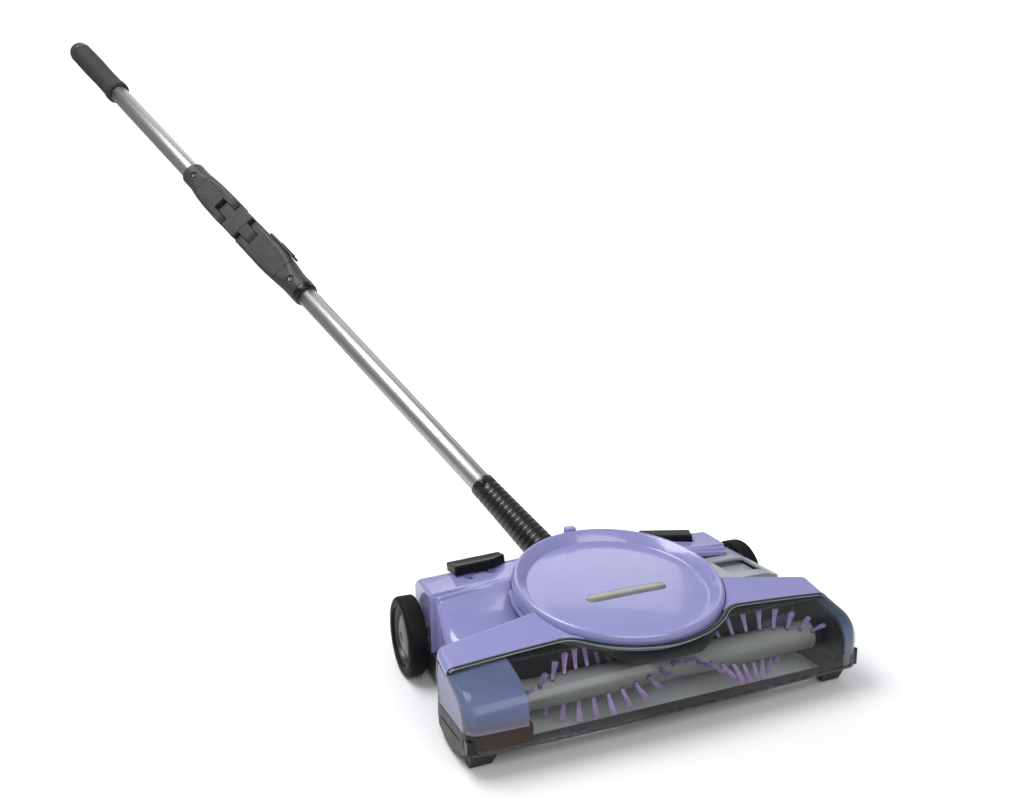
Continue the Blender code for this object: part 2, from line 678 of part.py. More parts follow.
lid_block = height_block([92.6, 110, 130, 140, 147, 151.6], [84.6, 100, 120, 138.8], lambda x, y: (x, y, lid_top(x, y)), lid_low)
lid = node("dust_cup_lid", lid_block, "smoke")
join(lid, height_block([133, 140, 147, 151.6], [137, 150, 165.5], lambda x, y: (x, y, lid_top(x, y)), 58.6))
cut(lid, height_block([95, 110, 130, 140, 147, 149.4], [87, 100, 120, 136.5], lambda x, y: (x, y, lid_top(x, y) - 2.2), 50))
join(lid, height_block([106, 125, 144], [94, 112, 130], lambda x, y: (x, y, lid_top(x, y) - 0.6), 62.0))
cut(lid, box((108, 96, 64.0), (142, 128, 80)))


# ---------------------------------------------------------------- wheels

for side, label in ((-1, "left"), (1, "right")):
    turn = Matrix.Translation((side * WHEEL_IN, WHEEL_Y, WHEEL_R)) @ Matrix.Rotation(side * math.pi / 2, 4, "Y")
    width = WHEEL_OUT - WHEEL_IN
    wheel_at = (side * (WHEEL_IN + width / 2), WHEEL_Y, WHEEL_R)
    tyre_profile = [
        (25.2, width - 1.4),
        (29.0, width - 0.4),
        (WHEEL_R - 1.6, width - 1.6),
        (WHEEL_R, width - 4.0),
        (WHEEL_R, 3.0),
        (WHEEL_R - 2, 0.6),
        (25.2, 0.6),
    ]
    node("tyre_" + label, moved(turned(tyre_profile, 36), turn), "black_rubber", at=wheel_at)
    hub_profile = [
        (4.35, width - 4.2),
        (13, width - 4.6),
        (20, width - 6.0),
        (23, width - 7.2),
        (24.8, width - 3.0),
        (24.8, 1.0),
        (22.6, 1.0),
        (22.2, width - 10.0),
        (9.0, width - 9.0),
        (9.0, 1.0),
        (4.35, 1.0),
    ]
    node("hub_" + label, moved(turned(hub_profile, 26), turn), "dark_grey", at=wheel_at)
    axle_profile = [(0, width - 1.4), (2.4, width - 1.6), (5.8, width - 2.4), (5.8, width - 3.8), (4.0, width - 3.8), (4.0, -25), (0, -25)]
    node("axle_" + label, moved(turned(axle_profile, 24), turn), "steel", at=wheel_at)


# ---------------------------------------------------------------- neck

fork = node("swivel_fork", rod("Y", 17.0, -33, -11, (0, 0, 0), 32), "dark_grey", swivel)
join(fork, rod("Y", 21.0, -38, -33.2, (0, 0, 0), 32), rod("Y", 17.0, -34, -32, (0, 0, 0), 32))
for side in (-1, 1):
    low, high = sorted((side * 9.7, side * 15.0))
    join(fork, box((low, -12, -9.5), (high, 0, 9.5)))
    join(fork, rod("X", 9.5, low, high, (0, 0, 0), 24))
cut(fork, rod("X", 3.4, -20, 20, (0, 0, 0), 16))

pin = node("pitch_pin", rod("X", 3.0, -16.6, 15.0, (0, 0, 0), 16), "steel", swivel)
join(pin, rod("X", 4.6, -17.8, -15.4, (0, 0, 0), 16))

yoke = node("neck_yoke", rod("X", 9.2, -9.3, 9.3, (0, 0, 0), 24), "dark_grey", pole)
join(yoke, rod("Z", 9.2, 0, 41, (0, 0, 0), 24), rod("Z", 10.9, 38, 43.6, (0, 0, 0), 24), rod("Z", 9.7, 43, 78, (0, 0, 0), 24))
cut(yoke, rod("X", 3.4, -20, 20, (0, 0, 0), 16))


def sleeve_radius(t):
    """The sleeve swells towards its base."""
    share = (t - SLEEVE_LO) / (SLEEVE_HI - SLEEVE_LO)
    return 15.6 - 3.0 * min(1.0, share * 1.15) ** 0.8


profile = [(11.5, SLEEVE_HI), (12.2, SLEEVE_HI), (12.7, SLEEVE_HI - 1), (12.7, 129)]
ribs = 13
pitch = (128.0 - SLEEVE_LO) / ribs
for i in range(ribs):
    top = 128.0 - i * pitch
    profile += [(sleeve_radius(top) - 1.7, top), (sleeve_radius(top) - 1.7, top - pitch * 0.25)]
    profile += [(sleeve_radius(top), top - pitch * 0.4), (sleeve_radius(top), top - pitch * 0.85)]
profile += [(sleeve_radius(SLEEVE_LO), SLEEVE_LO), (11.5, SLEEVE_LO)]
sleeve = node("neck_sleeve", turned(profile, 14), "black_gloss", pole)
button_at = (0, -10, 133.5)
cut(sleeve, rod("Y", 3.6, -20, -8, (0, 0, 133.5), 14))

button = node("tube_button", rod("Y", 3.1, -14.4, -8.4, (0, 0, 133.5), 14, chamfer=0.8), "steel", pole, at=button_at)


def tube(name, low, high, holes):
    r = TUBE_R
    made = node(name, turned([(r - TUBE_WALL, high), (r, high), (r, low), (r - TUBE_WALL, low)], 28), "aluminium", pole)
    for at in holes:
        cut(made, rod("Y", 3.5, -20, 0, (0, 0, at), 14))
    return made


lower_tube = tube("lower_tube", 44.2, 500.0, [133.5])
upper_tube = tube("upper_tube", 666.0, HANDLE_END - 16.0, [])


# ---------------------------------------------------------------- fold hinge


def hinge_half(name, pivot_t, end_t, frame=fold):
    """One half: a round collar on the tube that grows into two prongs round the fold pin."""
    out = end_t
    toward = 1 if pivot_t > end_t else -1

    def ring(t, half_x, half_y, corner):
        points = []
        for cx, cy, start in ((1, 1, 0), (-1, 1, 90), (-1, -1, 180), (1, -1, 270)):
            for a, b in arc(cx * (half_x - corner), cy * (half_y - corner), corner, start, start + 90, 3):
                points.append((a, b, t))
        return points

    shapes = [
        ring(out, 14.6, 14.6, 14.0),
        ring(out + toward * 14, 14.4, 14.2, 13.4),
        ring(out + toward * 40, 16.0, 13.4, 6.0),
        ring(out + toward * 62, 17.2, 12.9, 4.0),
        ring(pivot_t, 17.2, 12.9, 4.0),
    ]
    made = node(name, loft(shapes), "dark_grey", frame, at=(0, 0, pivot_t))
    join(made, rod("X", 13.0, -17.0, 17.0, (0, 0, pivot_t), 24))
    low, high = sorted((pivot_t - toward * 17.5, pivot_t + toward * 20))
    cut(made, box((-7.5, -20, low), (7.5, 20, high)))
    cut(made, rod("X", 3.4, -30, 30, (0, 0, pivot_t), 16))
    low, high = sorted((out - toward * 5, out + toward * 41.5))
    cut(made, rod("Z", 11.5, low, high, (0, 0, 0), 28))
    # Pocket in the underside, as the moulding has no solid middle
    low, high = sorted((out + toward * 43.6, pivot_t - toward * 19.6))
    cut(made, box((-13, -8, low), (13, 20, high)))
    screw_t = out + toward * 16
    cut(made, rod("Y", 3.6, -20, -12.6, (0, 0, screw_t), 16), rod("Y", 1.9, -20, -9, (0, 0, screw_t), 12))
    return made, screw_t


hinge_lower, low_screw = hinge_half("hinge_lower", FOLD_LO, HINGE_LO)
hinge_upper, high_screw = hinge_half("hinge_upper", FOLD_HI, HINGE_HI)
cut(lower_tube, rod("Y", 1.9, -20, 0, (0, 0, low_screw), 12), frame=fold)
cut(upper_tube, rod("Y", 1.9, -20, 0, (0, 0, high_screw), 12), frame=fold)

link_low, link_high = FOLD_LO + 14.0, FOLD_HI - 14.0
link = node("hinge_link", box((-16.6, -12.4, link_low), (16.6, 12.4, link_high), 2.0, 2), "dark_grey", fold, at=(0, 0, FOLD_LO))
for pivot_t, inner_t in ((FOLD_LO, link_low + 3), (FOLD_HI, link_high - 3)):
    low, high = sorted((pivot_t, inner_t))
    join(link, box((-7.1, -11.6, low), (7.1, 11.6, high)), rod("X", 11.6, -7.1, 7.1, (0, 0, pivot_t), 24))
    cut(link, rod("X", 3.4, -30, 30, (0, 0, pivot_t), 16))
cut(link, box((-13.5, -8, link_low + 3.4), (13.5, 20, link_high - 3.4)))

for name, pivot_t in (("hinge_pin_lower", FOLD_LO), ("hinge_pin_upper", FOLD_HI)):
    node(name, rod("X", 3.05, -17.0, 17.0, (0, 0, pivot_t), 16), "steel", fold, at=(0, 0, pivot_t))
for name, screw_t in (("hinge_screw_lower", low_screw), ("hinge_screw_upper", high_screw)):
    screw = node(name, rod("Y", 3.1, -14.0, -12.9, (0, 0, screw_t), 14), "steel", fold, at=(0, -13, screw_t))
    join(screw, rod("Y", 1.5, -13.5, -6.5, (0, 0, screw_t), 10))

slider = node("fold_release", box((14.9 + 2.7, -8.0, 502), (20.6, 6.0, 548), 1.2, 2), "dark_grey", fold, at=(19, 0, 525))
for ridge_t in (510, 517, 524):
    join(slider, box((20.0, -6.0, ridge_t), (21.6, 4.0, ridge_t + 3), 0.5, 1))


# ---------------------------------------------------------------- grip

grip_profile = [
    (11.5, HANDLE_END - 18.0),
    (13.2, HANDLE_END - 18.0),
    (14.0, HANDLE_END - 21.0),
    (14.2, HANDLE_END - 50.0),
    (13.6, HANDLE_END - 80.0),
    (14.0, HANDLE_END - 106.0),
    (15.2, HANDLE_END - 114.0),
    (14.9, HANDLE_END - 117.5),
    (12.9, HANDLE_END - 120.0),
    (11.5, HANDLE_END - 120.0),
]
node("grip", turned(grip_profile, 28), "black_rubber", pole)
cap_profile = [
    (0, HANDLE_END),
    (8.0, HANDLE_END),
    (12.2, HANDLE_END - 3.5),
    (14.0, HANDLE_END - 9.0),
    (14.0, HANDLE_END - 15.5),
    (0, HANDLE_END - 15.5),
]
cap = node("grip_cap", turned(cap_profile, 28), "dark_grey", pole)
join(cap, rod("Z", 9.7, HANDLE_END - 38.0, HANDLE_END - 14.0, (0, 0, 0), 20))
cut(cap, rod("Z", 7.4, HANDLE_END - 50.0, HANDLE_END - 5.0, (0, 0, 0), 16))
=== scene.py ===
"""Looks of a cordless carpet sweeper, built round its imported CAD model.

The helpers take millimetres in a frame of the sweeper: HEAD for the brush head (X to the right, Y to the back,
Z up from the floor), POLE along the handle from its tilt pivot, and FOLD for the fold hinge.
"""

import math
import random

import bmesh
import bpy
from mathutils import Matrix, Vector


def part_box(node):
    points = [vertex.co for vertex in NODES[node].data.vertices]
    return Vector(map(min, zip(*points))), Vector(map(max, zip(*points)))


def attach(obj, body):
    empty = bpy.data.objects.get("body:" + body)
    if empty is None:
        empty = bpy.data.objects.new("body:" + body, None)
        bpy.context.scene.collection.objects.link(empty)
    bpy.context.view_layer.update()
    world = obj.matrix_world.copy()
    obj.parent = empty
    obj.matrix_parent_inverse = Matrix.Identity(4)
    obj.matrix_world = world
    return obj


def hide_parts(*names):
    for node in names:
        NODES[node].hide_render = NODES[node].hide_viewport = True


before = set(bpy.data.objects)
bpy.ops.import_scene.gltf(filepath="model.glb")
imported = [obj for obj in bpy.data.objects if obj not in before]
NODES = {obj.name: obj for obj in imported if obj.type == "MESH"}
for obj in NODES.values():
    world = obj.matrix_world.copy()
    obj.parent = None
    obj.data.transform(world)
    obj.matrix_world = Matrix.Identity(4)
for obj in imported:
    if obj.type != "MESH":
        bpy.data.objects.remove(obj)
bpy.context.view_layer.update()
MM = 0.001

# ---------------------------------------------------------------- frames, as in the CAD model

WHEEL_Y, WHEEL_R = 169.0, 33.5
left_low, left_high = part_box("tyre_left")
right_low, right_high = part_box("tyre_right")
HEAD_AT = (left_low + left_high + right_low + right_high) / 4 - Vector((0, WHEEL_Y, WHEEL_R)) * MM

PIVOT = Vector((0.0, 187.8, 43.3))
HEAD = Matrix.Translation(HEAD_AT) @ Matrix.Scale(MM, 4)
SWIVEL = HEAD @ Matrix.Translation(PIVOT) @ Matrix.Rotation(math.radians(-35.86), 4, "Y")
POLE = SWIVEL @ Matrix.Rotation(math.radians(40.62 - 90), 4, "X")
FOLD = POLE @ Matrix.Rotation(math.radians(-8.0), 4, "Z")

DISC_R, DISC_Y, DISC_Z = 89.5, 103.5, 84.7
DISC = Matrix.Translation((0.0, DISC_Y, DISC_Z)) @ Matrix.Rotation(math.radians(7.4), 4, "X")
BRUSH_Y, BRUSH_Z, CORE_R, TIP_R, CHAMBER_R = 42.5, 31.4, 11.2, 29.0, 30.4
BRUSH_LEFT, BRUSH_RIGHT = -117.0, 153.0
FOLD_LOW, FOLD_HIGH, HINGE_LOW, HINGE_HIGH = 566.0, 620.0, 459.5, 707.0
MOTOR_AXIS = (0, 112, 26.5)
TUBE_R, SLEEVE_LOW, SLEEVE_HIGH, HANDLE_END = 11.1, 31.0, 139.5, 1024.0
NOSE_Y, NOSE_R, NOSE_DROP = 46.4, 21.0, 4.2
DECK_SIDE, DECK_BACK, DECK_ROUND = 152.0, 198.0, 24.0
WHEEL_AXLE = (0, WHEEL_Y, WHEEL_R)
BRUSH_CENTRE = (0, BRUSH_Y, BRUSH_Z)
BUTTON_AT = (0, 0, 133.5)
RIBS_TOP = 129.0

# ---------------------------------------------------------------- camera

scene = bpy.context.scene
scene.view_settings.view_transform = "Standard"
camera_data = bpy.data.cameras.new("camera")
camera_data.sensor_width = 36.0
camera_data.lens = 34.18
camera_data.shift_x = -0.02304
camera_data.shift_y = -0.00548
camera_data.clip_end = 50
camera = bpy.data.objects.new("camera", camera_data)
scene.collection.objects.link(camera)
turn, lift = math.radians(-22.97), math.radians(12.53)
back = Vector((math.sin(turn) * math.cos(lift), -math.cos(turn) * math.cos(lift), math.sin(lift)))
right = Vector((math.cos(turn), math.sin(turn), 0))
up = back.cross(right)
camera.matrix_world = Matrix.Translation(HEAD_AT + Vector((-361.3, -574.4, 412.3)) * MM) @ Matrix(
    ((right.x, up.x, back.x), (right.y, up.y, back.y), (right.z, up.z, back.z))
).to_4x4() @ Matrix.Rotation(math.radians(-0.11), 4, "Z")
scene.camera = camera


# ---------------------------------------------------------------- materials


def new_material(name):
    material = bpy.data.materials.new(name)
    material.use_nodes = True
    nodes = material.node_tree.nodes
    return material, nodes, material.node_tree.links, nodes["Principled BSDF"]


def finished(material, shader, sockets):
    """The material, with plain values in the sockets that the keywords name."""
    for socket, value in sockets.items():
        shader.inputs[socket.replace("_", " ")].default_value = value
    return material


def noise(nodes, links, vector, scale, detail=3.0, rough=0.55):
    made = nodes.new("ShaderNodeTexNoise")
    made.inputs["Scale"].default_value = scale
    made.inputs["Detail"].default_value = detail
    made.inputs["Roughness"].default_value = rough
    links.new(vector, made.inputs["Vector"])
    return made.outputs["Fac"]


def ramp(nodes, links, value, low, high, low_at=0.3, high_at=0.7):
    made = nodes.new("ShaderNodeMapRange")
    made.inputs["From Min"].default_value = low_at
    made.inputs["From Max"].default_value = high_at
    made.inputs["To Min"].default_value = low
    made.inputs["To Max"].default_value = high
    links.new(value, made.inputs["Value"])
    return made.outputs["Result"]


def blend_colour(nodes, links, factor, low, high):
    made = nodes.new("ShaderNodeMix")
    made.data_type = "RGBA"
    made.inputs["A"].default_value = (*low, 1)
    made.inputs["B"].default_value = (*high, 1)
    links.new(factor, made.inputs["Factor"])
    return made.outputs["Result"]


def bump(nodes, links, height, strength, distance, normal=None):
    made = nodes.new("ShaderNodeBump")
    made.inputs["Strength"].default_value = strength
    made.inputs["Distance"].default_value = distance
    links.new(height, made.inputs["Height"])
    if normal is not None:
        links.new(normal, made.inputs["Normal"])
    return made.outputs["Normal"]


def surface(name, low, high, rough, patch=30.0, grain=2500.0, grain_depth=0.00003, grain_strength=0.15,
    **sockets):
    """A moulded or painted surface: two shades in soft patches, uneven gloss, and a fine grain."""
    material, nodes, links, shader = new_material(name)
    coords = nodes.new("ShaderNodeTexCoord").outputs["Object"]
    patches = noise(nodes, links, coords, patch, 5)
    links.new(blend_colour(nodes, links, ramp(nodes, links, patches, 0, 1), low, high),
        shader.inputs["Base Color"])
    links.new(ramp(nodes, links, noise(nodes, links, coords, patch * 3, 4), rough[0], rough[1]),
        shader.inputs["Roughness"])
    fine = noise(nodes, links, coords, grain, 2)
    links.new(bump(nodes, links, fine, grain_strength, grain_depth), shader.inputs["Normal"])
    return finished(material, shader, sockets)


def shade_by_height(name, stops, rough, spread=0.0012, **sockets):
    """A moulded surface with shade painted into its colour by height: stops are (height over the floor in mm,
    colour).
    """
    material, nodes, links, shader = new_material(name)
    coords = nodes.new("ShaderNodeTexCoord").outputs["Object"]
    split = nodes.new("ShaderNodeSeparateXYZ")
    links.new(coords, split.inputs["Vector"])
    wander = ramp(nodes, links, noise(nodes, links, coords, 60, 4), -spread, spread)
    height = nodes.new("ShaderNodeMath")
    links.new(split.outputs["Z"], height.inputs[0])
    links.new(wander, height.inputs[1])
    low, high = stops[0][0] * MM, stops[-1][0] * MM
    colours = nodes.new("ShaderNodeValToRGB")
    links.new(ramp(nodes, links, height.outputs["Value"], 0, 1, low, high), colours.inputs["Fac"])
    while len(colours.color_ramp.elements) < len(stops):
        colours.color_ramp.elements.new(0.5)
    for element, (at, colour) in zip(colours.color_ramp.elements, stops):
        element.position = (at * MM - low) / (high - low)
        element.color = (*colour, 1)
    links.new(colours.outputs["Color"], shader.inputs["Base Color"])
    links.new(ramp(nodes, links, noise(nodes, links, coords, 90, 4), rough[0], rough[1]),
        shader.inputs["Roughness"])
    links.new(bump(nodes, links, noise(nodes, links, coords, 1500, 2), 0.03, 0.00002),
        shader.inputs["Normal"])
    return finished(material, shader, sockets)


def clear_plastic(name, tint, rough, shadow, ior=1.49):
    """See-through plastic that lets lamp light through to what is behind it."""
    material, nodes, links, shader = new_material(name)
    coords = nodes.new("ShaderNodeTexCoord").outputs["Object"]
    waves = noise(nodes, links, coords, 45, 2)
    links.new(blend_colour(nodes, links, waves, [c * 0.97 for c in tint], tint), shader.inputs["Base Color"])
    links.new(bump(nodes, links, waves, 0.01, 0.0004), shader.inputs["Normal"])
    shader.inputs["Roughness"].default_value = rough
    shader.inputs["IOR"].default_value = ior
    shader.inputs["Transmission Weight"].default_value = 1.0
    clear = nodes.new("ShaderNodeBsdfTransparent")
    clear.inputs["Color"].default_value = (*shadow, 1)
    mix = nodes.new("ShaderNodeMixShader")
    links.new(nodes.new("ShaderNodeLightPath").outputs["Is Shadow Ray"], mix.inputs["Fac"])
    links.new(shader.outputs["BSDF"], mix.inputs[1])
    links.new(clear.outputs["BSDF"], mix.inputs[2])
    links.new(mix.outputs["Shader"], nodes["Material Output"].inputs["Surface"])
    return material


def drawn_metal(name, low, high, rough, axis_frame, along=6.0, across=900.0, depth=0.1, **sockets):
    """Metal with fine lines along the local Z of axis_frame."""
    material, nodes, links, shader = new_material(name)
    coords = nodes.new("ShaderNodeTexCoord").outputs["Object"]
    turned_to = nodes.new("ShaderNodeMapping")
    turned_to.inputs["Rotation"].default_value = axis_frame.to_3x3().normalized().inverted().to_euler()
    links.new(coords, turned_to.inputs["Vector"])
    stretched = nodes.new("ShaderNodeMapping")
    stretched.inputs["Scale"].default_value = (across, across, along)
    links.new(turned_to.outputs["Vector"], stretched.inputs["Vector"])
    lines = noise(nodes, links, stretched.outputs["Vector"], 1.0, 3)
    links.new(blend_colour(nodes, links, ramp(nodes, links, lines, 0, 1), low, high),
        shader.inputs["Base Color"])
    links.new(ramp(nodes, links, lines, rough[0], rough[1]), shader.inputs["Roughness"])
    links.new(bump(nodes, links, lines, depth, 0.00002), shader.inputs["Normal"])
    shader.inputs["Metallic"].default_value = 1.0
    return finished(material, shader, sockets)


LAVENDER = surface(
    "lavender_paint", (0.222, 0.22, 0.45), (0.24, 0.236, 0.475), (0.2, 0.27), 26, 5200, 0.00002, 0.08,
    Coat_Weight=0.6, Coat_Roughness=0.06,
)
# Painted shade: a darker, bluer copy of the lavender paint, used on the walls of the neck's notch.
SHADED_LAVENDER = surface(
    "shaded_lavender", (0.135, 0.16, 0.3), (0.165, 0.185, 0.34), (0.28, 0.38), 20, 4000, 0.00002, 0.1,
    Coat_Weight=0.3, Coat_Roughness=0.12,
)
# Painted shade: the panel's colour changes with height, darker at its top under the bar and just above its
# pinkish foot.
LEFT_PANEL_PAINTED_SHADE = shade_by_height(
    "left_panel", [(33, (0.4, 0.29, 0.4)), (37, (0.2, 0.175, 0.28)), (43, (0.18, 0.2, 0.37)),
    (51, (0.2, 0.235, 0.45)), (60, (0.13, 0.16, 0.31))],
    (0.5, 0.6), Specular_IOR_Level=0.25,
)
# Painted shade: the panel darkens upwards to nearly black at its top, under the roof of the brush chamber.
RIGHT_PANEL_PAINTED_SHADE = shade_by_height(
    "right_panel", [(20, (0.24, 0.19, 0.24)), (36, (0.23, 0.24, 0.35)), (48, (0.16, 0.22, 0.36)),
    (61, (0.02, 0.035, 0.075))],
    (0.5, 0.6), Specular_IOR_Level=0.25,
)
# Painted shade: the cheek's lavender turns darker and greyer towards the floor.
CHEEK_PAINTED_SHADE = shade_by_height(
    "cheek_painted_shade", [(26, (0.19, 0.19, 0.25)), (40, (0.215, 0.215, 0.33)), (56, (0.24, 0.235, 0.42)),
    (74, (0.235, 0.228, 0.485))],
    (0.34, 0.42), 0.0002,
)
DARK = surface("dark_plastic", (0.022, 0.022, 0.022), (0.034, 0.033, 0.031), (0.34, 0.46), 40, 1500, 0.00006,
    0.25)
BASE_GREY = surface(
    "base_plastic", (0.028, 0.0275, 0.027), (0.038, 0.0372, 0.0365), (0.36, 0.48), 30, 1800, 0.00005, 0.2,
    Specular_IOR_Level=0.25
)
# Dark inner plastic, made near-black as painted shade inside the brush chamber.
LINER_PAINTED_SHADE = surface("inner_plastic_painted_shade", (0.01, 0.012, 0.013), (0.018, 0.021, 0.022), (0.35, 0.5), 40, 1500, 0.00006,
    0.2)
RAMP = surface("ramp_plastic", (0.05, 0.042, 0.03), (0.075, 0.064, 0.047), (0.4, 0.55), 60, 900, 0.0001, 0.3)
BROWN = surface(
    "brown_plastic", (0.036, 0.014, 0.004), (0.046, 0.019, 0.006), (0.4, 0.5), 40, 1500, 0.00002, 0.05,
    Specular_IOR_Level=0.1
)
SEAL = surface("seal_rubber", (0.004, 0.011, 0.009), (0.007, 0.016, 0.013), (0.16, 0.24), 60, 2500, 0.00002,
    0.1)
BLACK_GLOSS = surface(
    "black_gloss", (0.003, 0.003, 0.003), (0.005, 0.005, 0.005), (0.2, 0.28), 60, 3000, 0.00002, 0.08,
    Specular_IOR_Level=0.35
)
HINGE_GREY = surface(
    "hinge_plastic", (0.03, 0.03, 0.03), (0.045, 0.044, 0.043), (0.4, 0.52), 45, 2200, 0.00008, 0.4,
    Specular_IOR_Level=0.25
)
RUBBER = surface(
    "tyre_rubber", (0.0032, 0.0032, 0.0034), (0.006, 0.006, 0.0063), (0.5, 0.62), 60, 2600, 0.00006, 0.2,
    Specular_IOR_Level=0.12
)
HUB_GREY = surface("hub_plastic", (0.03, 0.03, 0.03), (0.045, 0.045, 0.045), (0.25, 0.36), 40, 2400, 0.00005,
    0.2)
CORE_GREY = surface("core_grey", (0.3, 0.296, 0.292), (0.345, 0.34, 0.336), (0.5, 0.6), 25, 3000, 0.00003,
    0.15)
TUFT = surface(
    "lavender_tufts", (0.5, 0.3, 0.85), (0.86, 0.66, 0.98), (0.4, 0.6), 380, 3000, 0.00002, 0.1,
    Sheen_Weight=0.1
)
BLACK_TUFT = surface("black_tufts", (0.008, 0.008, 0.008), (0.02, 0.02, 0.02), (0.5, 0.7), 400, 3000, 0.00002,
    0.1)
FOAM = surface("grip_foam", (0.012, 0.012, 0.013), (0.024, 0.024, 0.025), (0.72, 0.86), 300, 1400, 0.00025,
    0.6)
GREEN_LENS = surface("green_lens", (0.0, 0.045, 0.03), (0.0, 0.07, 0.045), (0.08, 0.14), 200, 3000, 0.00001,
    0.05)
WHITE_PLASTIC = surface("white_plastic", (0.6, 0.6, 0.58), (0.68, 0.68, 0.65), (0.35, 0.45), 40, 2500,
    0.00003, 0.15)
WRAP = surface("battery_wrap", (0.02, 0.06, 0.25), (0.03, 0.08, 0.3), (0.2, 0.35), 50, 900, 0.00008, 0.3)
BOARD = surface("circuit_board", (0.01, 0.09, 0.03), (0.02, 0.14, 0.05), (0.3, 0.45), 300, 2500, 0.00003, 0.2)
SATIN_TUBE = drawn_metal("satin_tube", (0.39, 0.386, 0.376), (0.44, 0.436, 0.425), (0.34, 0.39), POLE,
    depth=0.02)
STEEL = drawn_metal("bright_steel", (0.52, 0.52, 0.52), (0.64, 0.64, 0.64), (0.2, 0.3), HEAD, 300, 300)
DARK_STEEL = drawn_metal("dark_steel", (0.1, 0.1, 0.1), (0.15, 0.15, 0.15), (0.3, 0.4), HEAD, 300, 300)
BADGE = drawn_metal("badge_metal", (0.36, 0.355, 0.335), (0.46, 0.455, 0.435), (0.28, 0.36), HEAD, 60, 900)
SLEEVE = surface(
    "sleeve_rubber", (0.005, 0.005, 0.005), (0.008, 0.008, 0.008), (0.2, 0.27), 60, 3000, 0.00002, 0.08,
    Coat_Weight=0.3,
    Coat_Roughness=0.1,
)
PEDAL_BLACK = surface(
    "pedal_black", (0.003, 0.003, 0.0035), (0.005, 0.005, 0.006), (0.26, 0.34), 60, 3000, 0.00002, 0.08,
    Specular_IOR_Level=0.16
)
WINDOW = clear_plastic("clear_window", (0.82, 0.845, 0.84), 0.01, (0.125, 0.117, 0.1), 1.24)
WINDOW_EDGE = surface("window_edge", (0.2, 0.235, 0.235), (0.27, 0.31, 0.31), (0.08, 0.14), 60, 2500, 0.00001,
    0.05)
SMOKE = surface(
    "smoked_plastic", (0.29, 0.305, 0.35), (0.34, 0.355, 0.4), (0.26, 0.34), 22, 3500, 0.00002, 0.08,
    Transmission_Weight=0.08, Coat_Weight=0.2, Coat_Roughness=0.12,
)
SMOKE_DARK = surface("smoked_dish", (0.25, 0.265, 0.305), (0.29, 0.305, 0.345), (0.25, 0.34), 22, 3500,
    0.00002, 0.08)


# ---------------------------------------------------------------- mesh helpers


def box(low, high):
    bm = bmesh.new()
    size = [b - a for a, b in zip(low, high)]
    middle = [(a + b) / 2 for a, b in zip(low, high)]
    bmesh.ops.create_cube(bm, size=1.0, matrix=Matrix.Translation(middle) @ Matrix.Diagonal((*size, 1)))
    return bm


def sheet(rows, closed_rows=False):
    """A skin through rows of points; closed_rows joins each row's end to its start."""
    bm = bmesh.new()
    made = [[bm.verts.new(point) for point in row] for row in rows]
    count = len(made[0])
    for first, second in zip(made, made[1:]):
        for i in range(count if closed_rows else count - 1):
            j = (i + 1) % count
            bm.faces.new((first[i], first[j], second[j], second[i]))
    return bm


def loft(sections):
    bm = sheet(sections, True)
    bm.verts.ensure_lookup_table()
    count = len(sections[0])
    bm.faces.new(bm.verts[:count])
    bm.faces.new(bm.verts[len(bm.verts) - count :])
    bmesh.ops.recalc_face_normals(bm, faces=bm.faces[:])
    return bm


def revolve(profile, segments=64, axis_matrix=None):
    """A (radius, height) profile turned about Z. A profile with no point on the axis closes on itself."""
    rows = []
    ring = list(profile)
    if all(r > 0 for r, _ in ring):
        ring.append(ring[0])
    for i in range(segments + 1):
        a = 2 * math.pi * i / segments
        rows.append([(r * math.cos(a), r * math.sin(a), z) for r, z in ring])
    bm = sheet(rows)
    bmesh.ops.remove_doubles(bm, verts=bm.verts[:], dist=0.0005)
    bmesh.ops.dissolve_degenerate(bm, edges=bm.edges[:], dist=0.0005)
    bmesh.ops.recalc_face_normals(bm, faces=bm.faces[:])
    if axis_matrix is not None:
        bmesh.ops.transform(bm, matrix=axis_matrix, verts=bm.verts[:])
    return bm


AXES = {
    "X": Matrix.Rotation(math.pi / 2, 4, "Y"),
    "Y": Matrix.Rotation(-math.pi / 2, 4, "X"),
    "Z": Matrix.Identity(4),
}


def rod(axis, radius, low, high, at=(0, 0, 0), segments=40, chamfer=0.0):
    c = min(chamfer, radius * 0.9)
    profile = [(0, low), (radius - c, low), (radius, low + c), (radius, high - c), (radius - c, high),
        (0, high)]
    if not c:
        profile = [(0, low), (radius, low), (radius, high), (0, high)]
    return revolve(profile, segments, Matrix.Translation(at) @ AXES[axis])


def polar(radius, degrees, cx=0.0, cy=0.0):
    a = math.radians(degrees)
    return cx + radius * math.cos(a), cy + radius * math.sin(a)


def arc(cx, cy, radius, start, end, count):
    return [polar(radius, a, cx, cy) for a in steps(start, end, count)]


def rounded(half_x, half_y, corner, t, count=6):
    ring = []
    for cx, cy, start in ((1, 1, 0), (-1, 1, 90), (-1, -1, 180), (1, -1, 270)):
        for a, b in arc(cx * (half_x - corner), cy * (half_y - corner), corner, start, start + 90, count):
            ring.append((a, b, t))
    return ring


def moved(bm, matrix):
    bmesh.ops.transform(bm, matrix=matrix, verts=bm.verts[:])
    return bm


def merged(*parts):
    """Several meshes as one."""
    whole = parts[0]
    for part in parts[1:]:
        mesh = bpy.data.meshes.new("part")
        part.to_mesh(mesh)
        part.free()
        whole.from_mesh(mesh)
        bpy.data.meshes.remove(mesh)
    return whole


